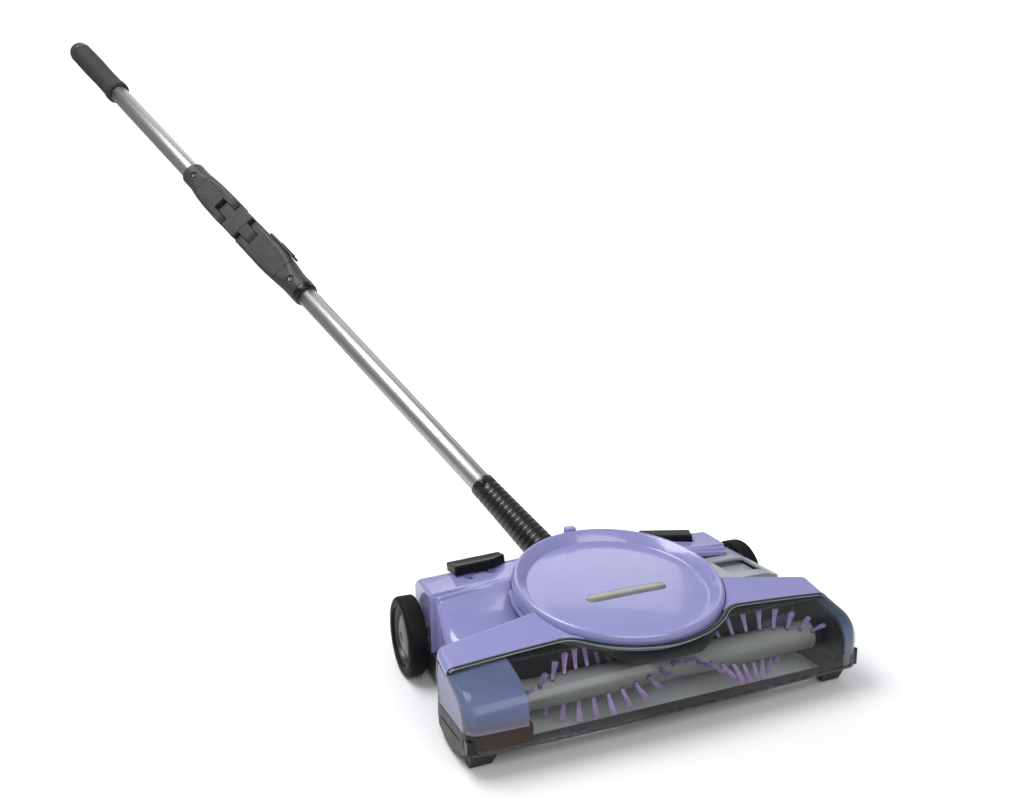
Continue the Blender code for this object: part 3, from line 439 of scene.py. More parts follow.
def smooth_curve(table, x):
    """A smooth, never overshooting line through a table of (x, value)."""
    if x <= table[0][0]:
        return table[0][1]
    if x >= table[-1][0]:
        return table[-1][1]
    slopes = [(b[1] - a[1]) / (b[0] - a[0]) for a, b in zip(table, table[1:])]
    ends = [slopes[0]]
    for a, b in zip(slopes, slopes[1:]):
        ends.append(0 if a * b <= 0 else 2 * a * b / (a + b))
    ends.append(slopes[-1])
    for i, ((x0, y0), (x1, y1)) in enumerate(zip(table, table[1:])):
        if x <= x1:
            h = x1 - x0
            t = (x - x0) / h
            return (
                y0 * (2 * t**3 - 3 * t**2 + 1)
                + h * ends[i] * (t**3 - 2 * t**2 + t)
                + y1 * (3 * t**2 - 2 * t**3)
                + h * ends[i + 1] * (t**3 - t**2)
            )
    return table[-1][1]


def steps(low, high, count):
    return [low + (high - low) * i / count for i in range(count + 1)]


def evaluated(made):
    """The object with its modifiers made real."""
    bpy.context.view_layer.update()
    mesh = bpy.data.meshes.new_from_object(made.evaluated_get(bpy.context.evaluated_depsgraph_get()))
    made.modifiers.clear()
    old = made.data
    made.data = mesh
    bpy.data.meshes.remove(old)
    return made


def piece(name, bm, material, body, replaced=(), at=HEAD, smooth=35, bevel=0.0, segments=3,
    angle=30,
          thick=0.0, cutters=()):
    """Makes a visible piece from a mesh in millimetres, and says which body it rides on."""
    mesh = bpy.data.meshes.new(name)
    bm.to_mesh(mesh)
    bm.free()
    made = bpy.data.objects.new(name, mesh)
    scene.collection.objects.link(made)
    if thick:
        modifier = made.modifiers.new("thick", "SOLIDIFY")
        modifier.thickness = thick
        modifier.offset = -1
        modifier.use_even_offset = True
        evaluated(made)
    for cutter in cutters:
        cut_mesh = bpy.data.meshes.new("cutter")
        cutter.to_mesh(cut_mesh)
        cutter.free()
        helper = bpy.data.objects.new("cutter", cut_mesh)
        scene.collection.objects.link(helper)
        modifier = made.modifiers.new("cut", "BOOLEAN")
        modifier.operation = "DIFFERENCE"
        modifier.solver = "EXACT"
        modifier.object = helper
        evaluated(made)
        bpy.data.objects.remove(helper, do_unlink=True)
    if bevel:
        modifier = made.modifiers.new("bevel", "BEVEL")
        modifier.width = bevel
        modifier.segments = segments
        modifier.limit_method = "ANGLE"
        modifier.angle_limit = math.radians(angle)
        modifier.use_clamp_overlap = True
        evaluated(made)
    made.data.transform(at)
    made.data.materials.clear()
    made.data.materials.append(material)
    made.data.polygons.foreach_set("material_index", [0] * len(made.data.polygons))
    made.data.shade_smooth()
    made.data.set_sharp_from_angle(angle=math.radians(smooth))
    if bevel:
        made.modifiers.new("normals", "WEIGHTED_NORMAL").keep_sharp = True
    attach(made, body)
    if replaced:
        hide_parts(*replaced)
    return made


# ---------------------------------------------------------------- shapes of the head, as in the CAD model


def ridge(x):
    along = min(1.0, max(0.0, (171.5 - abs(x)) / 83.0))
    return 71.5 + 8.5 * along, 68.6 + 10.7 * along


def window_top(x):
    return 64.0 + 7.6 * (1 - (x / 170.0) ** 2)


def nose_front(x):
    near_end = max(0.0, abs(x) - 160.0) / 10.0
    return -4.8 + 4.0 * (x / 170.0) ** 2 + 10.0 * (1 - math.sqrt(max(0.0, 1 - near_end**2)))


def end_inset(x, radius=5.0):
    """How far a rounded end has drawn in the section at x."""
    past = min(radius, max(0.0, abs(x) - (170.0 - radius)))
    return radius - math.sqrt(radius**2 - past**2)


NOSE_END = 97


def nose_line(x, offset=0.0, count=16):
    """The clear cover's section at x, from its bottom edge round to its top edge."""
    front, top = nose_front(x) + offset, window_top(x) - offset - 0.8 * end_inset(x)
    bend = top - NOSE_DROP - NOSE_R
    line = [(front + 0.4, 20.2), (front + 0.2, 25.0), (front, 30.0), (front, min(38.0, bend - 0.6))]
    return line + arc(front + NOSE_R, bend, NOSE_R, 180, NOSE_END, count) + [(NOSE_Y - 0.4, top)]


def shelf(x):
    return 78.0 + 4.0 * (150.0 - min(150.0, abs(x))) / 85.0


# The deck's height over the scoop in front of it, as a share, and the step at its front edge's ends
DECK_LOW = 46.0
RISE = [(80, 0), (98, 0.03), (112, 0.15), (123, 0.38), (132, 0.7), (138, 0.9), (142, 0.985), (146, 1)]
EDGE_STEPS = [(141.2, 1.0), (141.9, 0.52), (144.6, 0.48), (145.3, 0.05), (146.0, 0.0)]


def deck_height(x, y):
    past = min(DECK_ROUND, max(0.0, y - (DECK_BACK - DECK_ROUND)))
    share = smooth_curve(RISE, y)
    step = 5.6 * min(1.0, max(0.0, (abs(x) - 80.0) / 68.0)) * smooth_curve(EDGE_STEPS, y) * min(1.0,
        share * 1.4)
    return DECK_LOW + (shelf(x) - DECK_LOW) * share - step - DECK_ROUND + math.sqrt(DECK_ROUND**2 - past**2)


def offset_line(points, distance):
    """A (y, z) line moved to its right by distance."""
    moved_points = []
    for i, (y, z) in enumerate(points):
        normals = []
        for a, b in ((i - 1, i), (i, i + 1)):
            if 0 <= a and b < len(points):
                dy, dz = points[b][0] - points[a][0], points[b][1] - points[a][1]
                size = math.hypot(dy, dz)
                normals.append((dz / size, -dy / size))
        ny, nz = sum(n[0] for n in normals) / len(normals), sum(n[1] for n in normals) / len(normals)
        grow = distance / (ny**2 + nz**2)
        moved_points.append((y + ny * grow, z + nz * grow))
    return moved_points


def rounded_line(points, radius, count=6):
    """A line with its inner corners rounded."""
    line = [points[0]]
    for before, corner, after in zip(points, points[1:], points[2:]):
        a = Vector(before) - Vector(corner)
        b = Vector(after) - Vector(corner)
        half = a.angle(b) / 2
        reach = min(radius / math.tan(half), a.length * 0.45, b.length * 0.45)
        start = Vector(corner) + a.normalized() * reach
        end = Vector(corner) + b.normalized() * reach
        for i in range(count + 1):
            t = i / count
            point = start * (1 - t) ** 2 + Vector(corner) * 2 * t * (1 - t) + end * t**2
            line.append((point.x, point.y))
    return line + [points[-1]]


def bar_line(x, inset=0.0, radius=2.2):
    """The front bar's section: up its sloping top, over the ridge and down its back."""
    y, z = ridge(x)
    corners = [(NOSE_Y, window_top(x)), (y, z), (y + 5.2, 45.5), (y - 2.0, 26.35)]
    return rounded_line(offset_line(corners, inset), radius)


def in_plane(points, x):
    return [(x, y, z) for y, z in points]


def bar_of(points, x_low, x_high):
    """A bar along X whose section is a (y, z) polygon."""
    return loft([in_plane(points, x_low), in_plane(points, x_high)])


# ---------------------------------------------------------------- top shell

end_columns = [170 - 5 + 5 * math.sin(math.radians(a)) for a in (0, 15, 30, 45, 60, 75, 90)]
bar_columns = sorted({*steps(-165, 165, 66), *end_columns, *(-x for x in end_columns), 88.5, -88.5})
sections = []
for x in bar_columns:
    inset = end_inset(x)
    sections.append(in_plane(bar_line(x, inset) + bar_line(x, inset + 2.5)[::-1], x))
piece(
    "front_bar", loft(sections), LAVENDER, "head", ["top_housing"], bevel=0.5, segments=2, angle=40,
    cutters=[moved(rod("Z", DISC_R + 0.6, -14.6, 40, segments=160), DISC)],
)

for side, label in ((-1, "left"), (1, "right")):
    rim = [(y, z) for y, z in nose_line(170, 2.15) if z > 33] + [(NOSE_Y + 0.2, window_top(170) - 6.1)]
    outline = [(rim[0][0], 32.0)] + rim + bar_line(170, 5.02)[1:] + [(69.0, 26.35), (39.4, 29.6)]
    end_plate = bar_of(outline, *sorted((side * 167.3, side * 170.0)))
    piece("cheek_" + label, end_plate, CHEEK_PAINTED_SHADE, "head", bevel=0.7, angle=50)


def deck_row(y, inset=0.0, low=26.35):
    past = max(0.0, y - (DECK_BACK - 10.0))
    half = DECK_SIDE - 10.0 + math.sqrt(max(0.0, 100.0 - past**2)) - inset
    # In front of the deck the side steps in, and its edge gets rounder as it falls
    half -= 4.5 * smooth_curve([(143.4, 1.0), (144.2, 0.0)], y)
    fillet = smooth_curve([(96, 15.0), (138, 6.0), (143.5, 5.0), (144.4, 3.0), (150, 3.4)], y) - 0.5 * inset
    row = [(-half, y, low)]
    for side in (-1, 1):
        edge = [(side * (half - fillet * (1 - math.sin(a))), fillet * (1 - math.cos(a))) for a in
                (math.radians(90 - d) for d in steps(0, 90, 8))]
        edge = [(x, y, deck_height(x, y) - inset - drop) for x, drop in edge]
        if side < 0:
            row += edge
            row += [(x, y, deck_height(x, y) - inset) for x in steps(-half + fillet, half - fillet, 48)[1:-1]]
        else:
            row += edge[::-1]
    return row + [(half, y, low)]


back_rows = [DECK_BACK - DECK_ROUND + DECK_ROUND * math.sin(math.radians(a)) for a in steps(0, 90, 12)]
deck_rows = steps(78, 100, 6) + steps(103, 139, 18) + [140.6, 141.2, 141.5, 141.9, 142.6, 143.4, 143.9, 144.2,
    144.6]
deck_rows += [144.9, 145.3, 145.6, 146.0, 147.5, 150, 154, 160, 167] + back_rows
outer = loft([deck_row(y) for y in deck_rows])
inner_rows = [84, 92, 100] + steps(103, 139, 12) + [150, 160] + [y for y in back_rows if y < 195.4] + [195.4]
inner = loft([deck_row(y, 3.0, 20.0) for y in inner_rows])

left_place = Matrix.Translation((-98, 166, shelf(-98) + 3.0))
left_place = left_place @ Matrix.Rotation(math.radians(-2.7), 4, "Y") @ Matrix.Rotation(math.radians(-12), 4,
    "X")
right_place = Matrix.Translation((84.0, 166.5, 79.6)) @ Matrix.Rotation(math.radians(-20.6), 4, "Z")
LED_AT = (-111.0, 161.0, shelf(-111) + 0.3)
DISH_AT = (-110.6, 163.6, shelf(-111) + 0.3)
SECOND_DISH_AT = (-90.4, 165.6, shelf(-90) + 0.3)


def neck_notch():
    return box((-48, 171, 20), (48, 215, 120))


def scallop(at, radius=7.0, depth=1.6):
    """A shallow dish, as a ball that dips into the deck."""
    ball = (radius**2 + depth**2) / (2 * depth)
    bm = bmesh.new()
    bmesh.ops.create_uvsphere(bm, u_segments=64, v_segments=48, radius=ball,
                              matrix=Matrix.Translation((at[0], at[1], at[2] - depth + ball)))
    return bm


piece(
    "rear_shell", outer, LAVENDER, "head", bevel=0.6, segments=2, angle=42, smooth=32,
    cutters=[
        inner,
        moved(rod("Z", DISC_R + 0.6, -14.6, 40, segments=160), DISC),
        box((92, 84, 0), (149.5, 139.5, 120)),
        box((92, 84, 57), (170, 139.5, 120)),
        box((132.5, 130, 57), (170, 210, 120)),
        neck_notch(),
        scallop(DISH_AT, 6.4, 2.2),
        scallop(SECOND_DISH_AT, 6.2, 2.2),
        rod("Z", 3.0, 60, 100, (LED_AT[0], LED_AT[1], 0)),
        moved(box((-5.7, 2.4, -25), (5.7, 9.7, 10)), left_place),
        moved(box((-25.2, -1.2, -12), (25.2, 16.7, 12)), right_place),
        rod("X", 4.4, -165, -145, WHEEL_AXLE),
        rod("X", 4.4, 145, 165, WHEEL_AXLE),
        rod("Y", 6.0, 185, 205, (-78, 0, 50)),
        # Room inside the left wall for the motor's pulley and the end of its shaft
        rod("X", 9.2, -145.5, -130, MOTOR_AXIS, 48),
        rod("X", 2.3, -147.2, -140, MOTOR_AXIS, 24),
    ],
)

# Walls of the notch that the neck stands in, in the lavender with shade painted in
walls = []
for side in (-1, 1):
    rows = []
    for y in [168.6, 172] + [y for y in back_rows if y > 174.5]:
        a, b = sorted((side * 48.05, side * 50.4))
        top = deck_height(49, y) - 1.2
        rows.append([(a, y, 20), (b, y, 20), (b, y, top), (a, y, top)])
    walls.append(loft(rows))
piece("notch_sides", merged(*walls), SHADED_LAVENDER, "head", bevel=0.3, segments=1)
piece(
    "notch_wall", box((-48.2, 168.4, 20), (48.2, 170.95, 79.5)), SHADED_LAVENDER, "head", bevel=0.3,
    segments=1,
    cutters=[rod("Y", 18.6, 160, 180, (0, 0, PIVOT.z), 64)],
)
seat = [(70, -16.9), (DISC_R + 1.4, -16.9), (DISC_R + 1.4, -14.5), (70, -14.5)]
piece("disc_seat", revolve(seat, 128, DISC), LAVENDER, "head",
      cutters=[neck_notch(), box((-100, -20, 20), (100, 56, 120))])

# ---------------------------------------------------------------- round cover

def cover_height(x, y):
    """Height of the clear cover's outer skin."""
    front, top = nose_front(x), window_top(x) - 0.8 * end_inset(x)
    near, low = polar(NOSE_R, NOSE_END, front + NOSE_R, top - NOSE_DROP - NOSE_R)
    if y > near:
        return low + (top - low) * (y - near) / (NOSE_Y - 0.4 - near)
    return top - NOSE_DROP - NOSE_R + math.sqrt(max(0.0, NOSE_R**2 - (y - front - NOSE_R) ** 2))


floor_curve = [(0, -5.4), (30, -5.8), (60, -7.4), (76.5, -9.0)]
profile = [(r, smooth_curve(floor_curve, r)) for r in steps(0, 75.6, 16)]
profile += [(76.8, -8.9), (77.7, -7.9), (78.9, -6.4), (81.5, -3.7), (84.0, -1.3), (84.9, -0.45), (85.8, 0.0)]
profile += [(86.7, -0.2), (87.6, -0.75), (88.4, -1.8), (89.0, -3.2), (89.4, -5.0), (DISC_R, -7.0),
    (DISC_R, -13.2)]
profile += [(89.1, -13.6), (86.9, -13.6), (86.9, -4.6), (85.0, -3.9), (80.4, -8.6), (77.4, -11.6), (60, -9.9)]
profile += [(30, -8.3), (0, -7.9)]
RING = DISC_R + 1.0
FILLET = 26.0
SEAL_Y = NOSE_Y - 0.3
fillet_x = math.sqrt((RING + FILLET) ** 2 - (DISC_Y - SEAL_Y + FILLET) ** 2)
meet = math.degrees(math.atan2(SEAL_Y - FILLET - DISC_Y, fillet_x))
skirt_cut = []
for a in steps(meet + 1, -181 - meet, 80):
    near, far = (polar(r, a, 0.0, DISC_Y) for r in (86.3, 92.5))
    skirt_cut.append([(*near, 30), (*far, 30), (*far, cover_height(*far) - 1.8),
        (*near, cover_height(*far) - 1.8)])
piece("round_cover", revolve(profile, 192, DISC), LAVENDER, "head", ["disc_cover"], smooth=50,
      cutters=[loft(skirt_cut)])
# Under its front edge, the chamber's roof goes on round the brush, near-black as painted shade
rows = []
for x in steps(-62, 62, 40):
    front_edge = DISC_Y - math.sqrt((DISC_R + 0.4) ** 2 - x**2)
    last = min(142.0, math.degrees(math.acos((front_edge - BRUSH_Y) / CHAMBER_R)))
    line = arc(BRUSH_Y, BRUSH_Z, CHAMBER_R, 89, last, 10)
    rows.append(in_plane(line + offset_line(line, 1.0)[::-1], x))
piece("chamber_roof", loft(rows), LINER_PAINTED_SHADE, "head", smooth=50)
piece("cover_lug", moved(box((-8.5, 86.4, -6.0), (1.8, 93.0, 2.8)), DISC), LAVENDER, "head",
    bevel=1.5,
      segments=4)

# A plain name plate with nothing written on it
plate_rows = []
for u in steps(-1, 1, 48):
    half = 5.6 * math.sqrt(max(0.0, 1 - abs(u) ** 14)) + 0.05
    row = []
    for v, lift in ((-1, -0.5), (-1, 0.35), (-0.86, 0.7), (0, 0.85), (0.86, 0.7), (1, 0.35), (1, -0.5)):
        x, y = 37.0 * u, -16.0 + half * v
        row.append((x, y, smooth_curve(floor_curve, math.hypot(x, y)) + lift))
    plate_rows.append(row)
piece("cover_plate", moved(loft(plate_rows), DISC @ Matrix.Rotation(math.radians(1.0), 4, "Z")), BADGE,
    "head",
      smooth=40)

# ---------------------------------------------------------------- clear cover and what is behind it

window_columns = sorted({*steps(-160, 160, 64), *(s * (160 + 10 * math.sin(math.radians(a)))
                         for s in (-1, 1) for a in (8, 16, 24, 32, 40, 48, 56, 64, 72, 81, 90))})
RIM_FROM = 168.4
window_columns = [x for x in window_columns if x < RIM_FROM] + [RIM_FROM]
sections = []
for x in window_columns:
    sections.append(in_plane(nose_line(x) + nose_line(x, 2.0)[::-1], x))
piece(
    "clear_cover", loft(sections), WINDOW, "head", ["window"], bevel=0.25, segments=2, angle=50,
    cutters=[moved(rod("Z", DISC_R + 1.6, -60, 40, segments=160), DISC)],
)


def end_panel_line(x, offset, low):
    points = [(y, z) for y, z in nose_line(x, offset) if z > low + 3]
    points[-1] = (NOSE_Y - 2, points[-1][1] - 1.0)
    return [(points[0][0], low)] + points


def wrapped_panel(x_low, x_high, offset, thick, low):
    """A strip behind the clear cover that wraps round its rounded end."""
    return loft([in_plane(end_panel_line(x, offset, low) + end_panel_line(x, offset + thick, low)[::-1], x)
                 for x in steps(x_low, x_high, 20)])


piece("belt_panel", wrapped_panel(-168.7, -124.0, 2.5, 2.0, 33.6), LEFT_PANEL_PAINTED_SHADE, "head", ["gear_cover"],
    bevel=0.4,
      smooth=40)
shape = [(15, 33.6), (9.5, 33.6), (8, 45), (12, 52), (22, 58), (42, 62.4), (58, 63), (58, 33.6)]
piece(
    "belt_panel_side", bar_of(shape, -126.4, -124.0), LEFT_PANEL_PAINTED_SHADE, "head", bevel=0.4,
    cutters=[rod("X", 13.5, -130, -120, BRUSH_CENTRE, 64)],
)
piece("right_panel", wrapped_panel(156.0, 168.7, 2.5, 2.0, 20.6), RIGHT_PANEL_PAINTED_SHADE, "head", ["end_cap_right"],
    bevel=0.3,
      smooth=40)
shape = [(9.5, 21), (8, 45), (12, 52), (22, 58), (42, 62), (70, 62), (70, 21)]
piece(
    "right_panel_side", bar_of(shape, 158.2, 160.5), LINER_PAINTED_SHADE, "head", bevel=0.3,
    cutters=[rod("X", 9.0, 150, 170, BRUSH_CENTRE, 48)],
)

rim_sections = [in_plane(nose_line(x) + nose_line(x, 2.0)[::-1], x)
    for x in (RIM_FROM + 0.05, 169.0, 169.5, 169.8, 170.0)]
piece("cover_rim", loft(rim_sections), RIGHT_PANEL_PAINTED_SHADE, "head", bevel=0.2, segments=2, angle=50)

# A seal runs along the top edge of the clear cover and round the front of the round cover


def seal_line(extra):
    """Plan of the seal's line: along the bar, round a fillet, round the disc, and back."""
    right = [(x, SEAL_Y - extra) for x in steps(fillet_x, 168.6, 40)][::-1]
    right += arc(fillet_x, SEAL_Y - FILLET, FILLET - extra, 90, 180 + meet, 14)[1:]
    ring = arc(0.0, DISC_Y, RING + extra, meet, -180 - meet, 80)[1:-1]
    return right + ring + [(-x, y) for x, y in reversed(right)]


def strip(inner, outer, shape):
    """A strip on the clear cover between two lines; shape is (share of its width, height over the cover)."""
    rows = []
    for (ax, ay), (bx, by) in zip(inner, outer):
        row = []
        for share, lift in shape:
            x, y = ax + (bx - ax) * share, ay + (by - ay) * share
            row.append((x, y, cover_height(x, y) + lift))
        rows.append(row)
    return loft(rows)


shape = ((0.0, -1.2), (0.0, 0.22), (0.15, 0.4), (0.8, 0.4), (0.97, 0.2), (1.0, -1.2))
piece("cover_seal", strip(seal_line(0.0), seal_line(3.2), shape), SEAL, "head", smooth=50)
shape = ((0.0, -0.6), (0.0, 0.3), (0.5, 0.5), (1.0, 0.3), (1.0, -0.6))
piece("cover_edge", strip(seal_line(3.3), seal_line(3.8), shape), WINDOW_EDGE, "head",
    smooth=50)

rows = []
for a in steps(meet + 2, -182 - meet, 80):
    near, far = (polar(DISC_R + r, a, 0.0, DISC_Y) for r in (0.3, 1.3))
    top = cover_height(*far)
    rows.append([(*near, top - 3), (*near, top + 0.1), (*far, top + 0.1), (*far, top - 3)])
piece("cover_skirt", loft(rows), SEAL, "head", smooth=50)

# The bar's sloping top runs into the round cover with two small webs
WEB_STEPS = 12
WEB_SHAPE = ((0.0, -2.0), (0.0, 0.5), (0.1, 0.75), (1.0, 0.75), (1.0, -2.0))
for side, label in ((-1, "left"), (1, "right")):
    rows = []
    for i in range(WEB_STEPS + 1):
        x, y = polar(FILLET, 90 + (90 + meet) * i / WEB_STEPS, fillet_x, SEAL_Y - FILLET)
        inner_point = Vector((x, y - DISC_Y)).normalized() * (RING - 0.8)
        target = Vector((x, SEAL_Y + 0.6)).lerp(Vector((inner_point.x, inner_point.y + DISC_Y)),
            i / WEB_STEPS)
        row = []
        for share, lift in WEB_SHAPE:
            web_x, web_y = x + (target.x - x) * share, y + (target.y - y) * share
            row.append((side * web_x, web_y, cover_height(web_x, min(web_y, NOSE_Y)) + lift))
        rows.append(row)
    piece("cover_web_" + label, loft(rows), LAVENDER, "head", smooth=40)

liner_arc = arc(BRUSH_Y, BRUSH_Z, CHAMBER_R, -35, 88, 24)
liner_line = [(73.2, 13.0)] + [p for p in liner_arc if p[1] > 14] + [(40.0, 62.0)]
sections = [in_plane(liner_line + offset_line(liner_line, 1.4)[::-1], x) for x in steps(-123, 156.4, 2)]
piece("chamber_liner", loft(sections), LINER_PAINTED_SHADE, "head", smooth=50)
rib_sections = []
for x in steps(-118, 150, 22):
    rib = [(y, z) for y, z in liner_arc if z > 20]
    rib_sections.append(bar_of(rib + offset_line(rib, -0.9)[::-1], x - 0.6, x + 0.6))
piece("liner_ribs", merged(*rib_sections), LINER_PAINTED_SHADE, "head", smooth=40)

# Front lip and the ribbed ramp behind it
lip_columns = [x for x in window_columns if abs(x) <= 169.6]
sections = []
for x in lip_columns:
    y = nose_front(x) + 0.2
    sections.append(in_plane([(y + 0.2, 18.4), (y, 19.2), (y + 0.3, 20.1), (13, 20.0), (13, 18.2),
        (y + 0.6, 18.2)], x))
piece("front_lip", loft(sections), DARK, "head", smooth=50,
    cutters=[box((-119, 9, 0), (155, 40, 40))])
ramp_line = [(6.6, 20.1), (8.4, 19.4), (22.5, 9.8), (22.5, 7.9), (6.6, 18.0)]
ribs = [bar_of(ramp_line, -119, 155)]
for x in steps(-117, 153, 54):
    ribs.append(bar_of([(7.0, 20.0), (8.8, 20.1), (21.8, 11.2), (21.8, 9.8), (8, 18.4)], x - 0.7, x + 0.7))
piece("ramp", merged(*ribs), RAMP, "head", smooth=30)
sill_rows = []
for x in steps(-167.4, -120.5, 20):
    y = nose_front(x) + 3.2
    sill_rows.append(in_plane([(y + 0.5, 20.2), (y + 0.6, 32.2), (y + 1.4, 33.4), (26, 33.4), (26, 20.2)], x))
piece("left_sill", loft(sill_rows), BROWN, "head", smooth=40)
for side, label in ((-1, "left"), (1, "right")):
    low, high = sorted((side * 160.5, side * 169.9))
    block = box((low, 1.4, 18.6), (high, 12.4, 33.0))
    piece("corner_" + label, block, BLACK_GLOSS, "head", bevel=1.0,
          cutters=[box((low - 2, -1, 29.6), ((low + high) / 2 - side * 1.5, 6, 36))])

# Dark end panels with their groove
for side, label in ((-1, "left"), (1, "right")):
    outline = [(69.2, 25.9), (39.4, 29.15), (12.2, 31.8), (9.8, 31.6), (6.4, 19.0), (8.0, 16.6), (16, 12.0),
        (26, 8.9), (37, 5.4),
               (44, 3.7), (52, 4.6), (59, 6.4), (67.0, 8.6), (69.6, 16)]
    groove = bar_of([(62.9, 16.6), (62.9, 18.0), (18.4, 23.0), (18.4, 21.6)],
        *sorted((side * 169.1, side * 172)))
    piece(
        "end_panel_" + label, bar_of(outline, *sorted((side * 166.8, side * 170.0))), BASE_GREY, "head",
        bevel=0.9, angle=50, cutters=[groove],
    )

# ---------------------------------------------------------------- brush

collar = [(0, BRUSH_LEFT), (CORE_R - 1.2, BRUSH_LEFT), (CORE_R - 0.2, BRUSH_LEFT + 0.5),
    (CORE_R, BRUSH_LEFT + 1.4)]
collar += [(CORE_R, x) for x in steps(BRUSH_LEFT + 3, BRUSH_RIGHT - 3, 24)]
collar += [(CORE_R, BRUSH_RIGHT - 1.4), (CORE_R - 0.2, BRUSH_RIGHT - 0.5), (CORE_R - 1.2, BRUSH_RIGHT),
    (0, BRUSH_RIGHT)]
BRUSH_AXIS = Matrix.Translation(BRUSH_CENTRE) @ AXES["X"]
piece("brush_shaft", rod("X", 3.0, -150, 164.5, BRUSH_CENTRE, 40, 0.6), DARK, "brush",
    smooth=40)
lines = []
for turn in (-142, -121):
    place = (0, *polar(CORE_R + 0.1, turn, BRUSH_Y, BRUSH_Z))
    lines.append(rod("X", 0.42, BRUSH_LEFT + 4, BRUSH_RIGHT - 4, place, 12))
piece("brush_roll", revolve(collar, 96, BRUSH_AXIS), CORE_GREY, "brush", ["brush_core"],
    smooth=50, cutters=lines)
flange = [(3.2, 150.0), (13.4, 150.0), (14.4, 150.6), (14.4, 152.4), (13.6, 153.0), (3.2, 153.0)]
piece("brush_flange", revolve(flange, 96, BRUSH_AXIS), DARK, "brush", smooth=40)

rng = random.Random(7)


def tuft(bm, x, angle):
    """A flared bundle of filaments that stands on the roll at x."""
    out = Vector((0, math.cos(angle), math.sin(angle)))
    side = Vector((0, -math.sin(angle), math.cos(angle)))
    base = Vector((x, BRUSH_Y, BRUSH_Z))
    for _ in range(64):
        spin = rng.uniform(0, 2 * math.pi)
        reach = math.sqrt(rng.uniform(0, 1))
        dx, ds = reach * math.cos(spin), 0.7 * reach * math.sin(spin)
        length = TIP_R - rng.uniform(0.0, 0.5) - 0.25 * reach
        bend = rng.uniform(-0.25, 0.25)
        points = []
        for share, spread in ((0.0, 1.3), (0.35, 1.5), (0.7, 2.1), (1.0, 2.75)):
            height = CORE_R - 0.6 + (length - CORE_R + 0.6) * share
            point = base + out * height + Vector((1, 0, 0)) * dx * spread
            points.append(point + side * (ds * spread + bend * share**2))
        width = rng.uniform(0.16, 0.24)
        rings = []
        for point, narrow in zip(points, (1.0, 1.0, 0.95, 0.6)):
            ring = []
            for corner in range(4):
                c = spin + corner * math.pi / 2
                ring.append(bm.verts.new(point + Vector((1, 0, 0)) * width * narrow * math.cos(c)
                                         + side * width * narrow * math.sin(c)))
            rings.append(ring)
        for first, second in zip(rings, rings[1:]):
            for i in range(4):
                bm.faces.new((first[i], first[(i + 1) % 4], second[(i + 1) % 4], second[i]))
        bm.faces.new(rings[-1])
        bm.faces.new(rings[0][::-1])


for label, start in (("a", -40.0), ("b", 140.0)):
    bm = bmesh.new()
    holes = bmesh.new()
    for i in range(24):
        x = -112.0 + 260.0 * i / 23
        angle = math.radians(start + 1.4 * abs(x - 18.0))
        tuft(bm, x, angle)
        foot = Matrix.Translation((x, BRUSH_Y, BRUSH_Z)) @ Matrix.Rotation(angle - math.pi / 2, 4, "X")
        holes = merged(holes, moved(rod("Z", 1.9, CORE_R - 0.4, CORE_R + 0.25, segments=20, chamfer=0.15),
            foot))
    bmesh.ops.recalc_face_normals(bm, faces=bm.faces[:])
    piece("tufts_" + label, bm, TUFT, "brush", ["bristle_row_" + label], smooth=60)
    piece("tuft_feet_" + label, holes, DARK, "brush", smooth=40)

# ---------------------------------------------------------------- wheels

for side, label in ((-1, "left"), (1, "right")):
    place = Matrix.Translation((side * 155.9, WHEEL_Y, WHEEL_R)) @ Matrix.Rotation(side * math.pi / 2, 4, "Y")
    width = 17.1
    tyre = [(25.0, width - 1.4), (25.4, width - 0.9), (26.6, width - 0.5), (29.0, width - 0.35)]
    tyre += [(WHEEL_R - 3.6 + dr, width - 4.0 + dw) for dw, dr in arc(0, 0, 3.6, 0, 90, 8)]
    tyre += [(WHEEL_R, 3.0), (WHEEL_R - 0.6, 1.6), (WHEEL_R - 2, 0.7), (25.0, 0.6)]
    body = "wheel_" + label
    piece("tyre_fine_" + label, revolve(tyre, 128, place), RUBBER, body, ["tyre_" + label],
        smooth=42)
    hub = [(4.35, width - 2.4), (9, width - 2.7), (13, width - 3.3), (17, width - 4.4), (20, width - 5.7)]
    hub += [(22.2, width - 7.0), (22.9, width - 7.0), (23.4, width - 6.2), (24.0, width - 3.4),
        (24.6, width - 2.9)]
    hub += [(24.9, width - 3.4), (24.9, 1.0), (22.6, 1.0), (22.2, width - 10), (9, width - 9), (9, 1.0),
        (4.35, 1.0)]
    piece("hub_fine_" + label, revolve(hub, 96, place), HUB_GREY, body, ["hub_" + label],
        smooth=40)
    axle = [(0, width - 3.4), (2.6, width - 3.3), (3.6, width - 2.9), (4.2, width - 2.7), (4.2, -25),
        (0, -25)]
    piece("axle_fine_" + label, revolve(axle, 64, place), HUB_GREY, "head", ["axle_" + label],
        smooth=40)

# ---------------------------------------------------------------- pedals and charge light

PEDAL_MARK = surface("pedal_mark", (0.05, 0.05, 0.05), (0.09, 0.09, 0.09), (0.3, 0.4), 200, 2000)
AMBER = surface("amber_plastic", (0.06, 0.013, 0.002), (0.085, 0.02, 0.003), (0.4, 0.5), 80, 2000,
    Specular_IOR_Level=0.15)


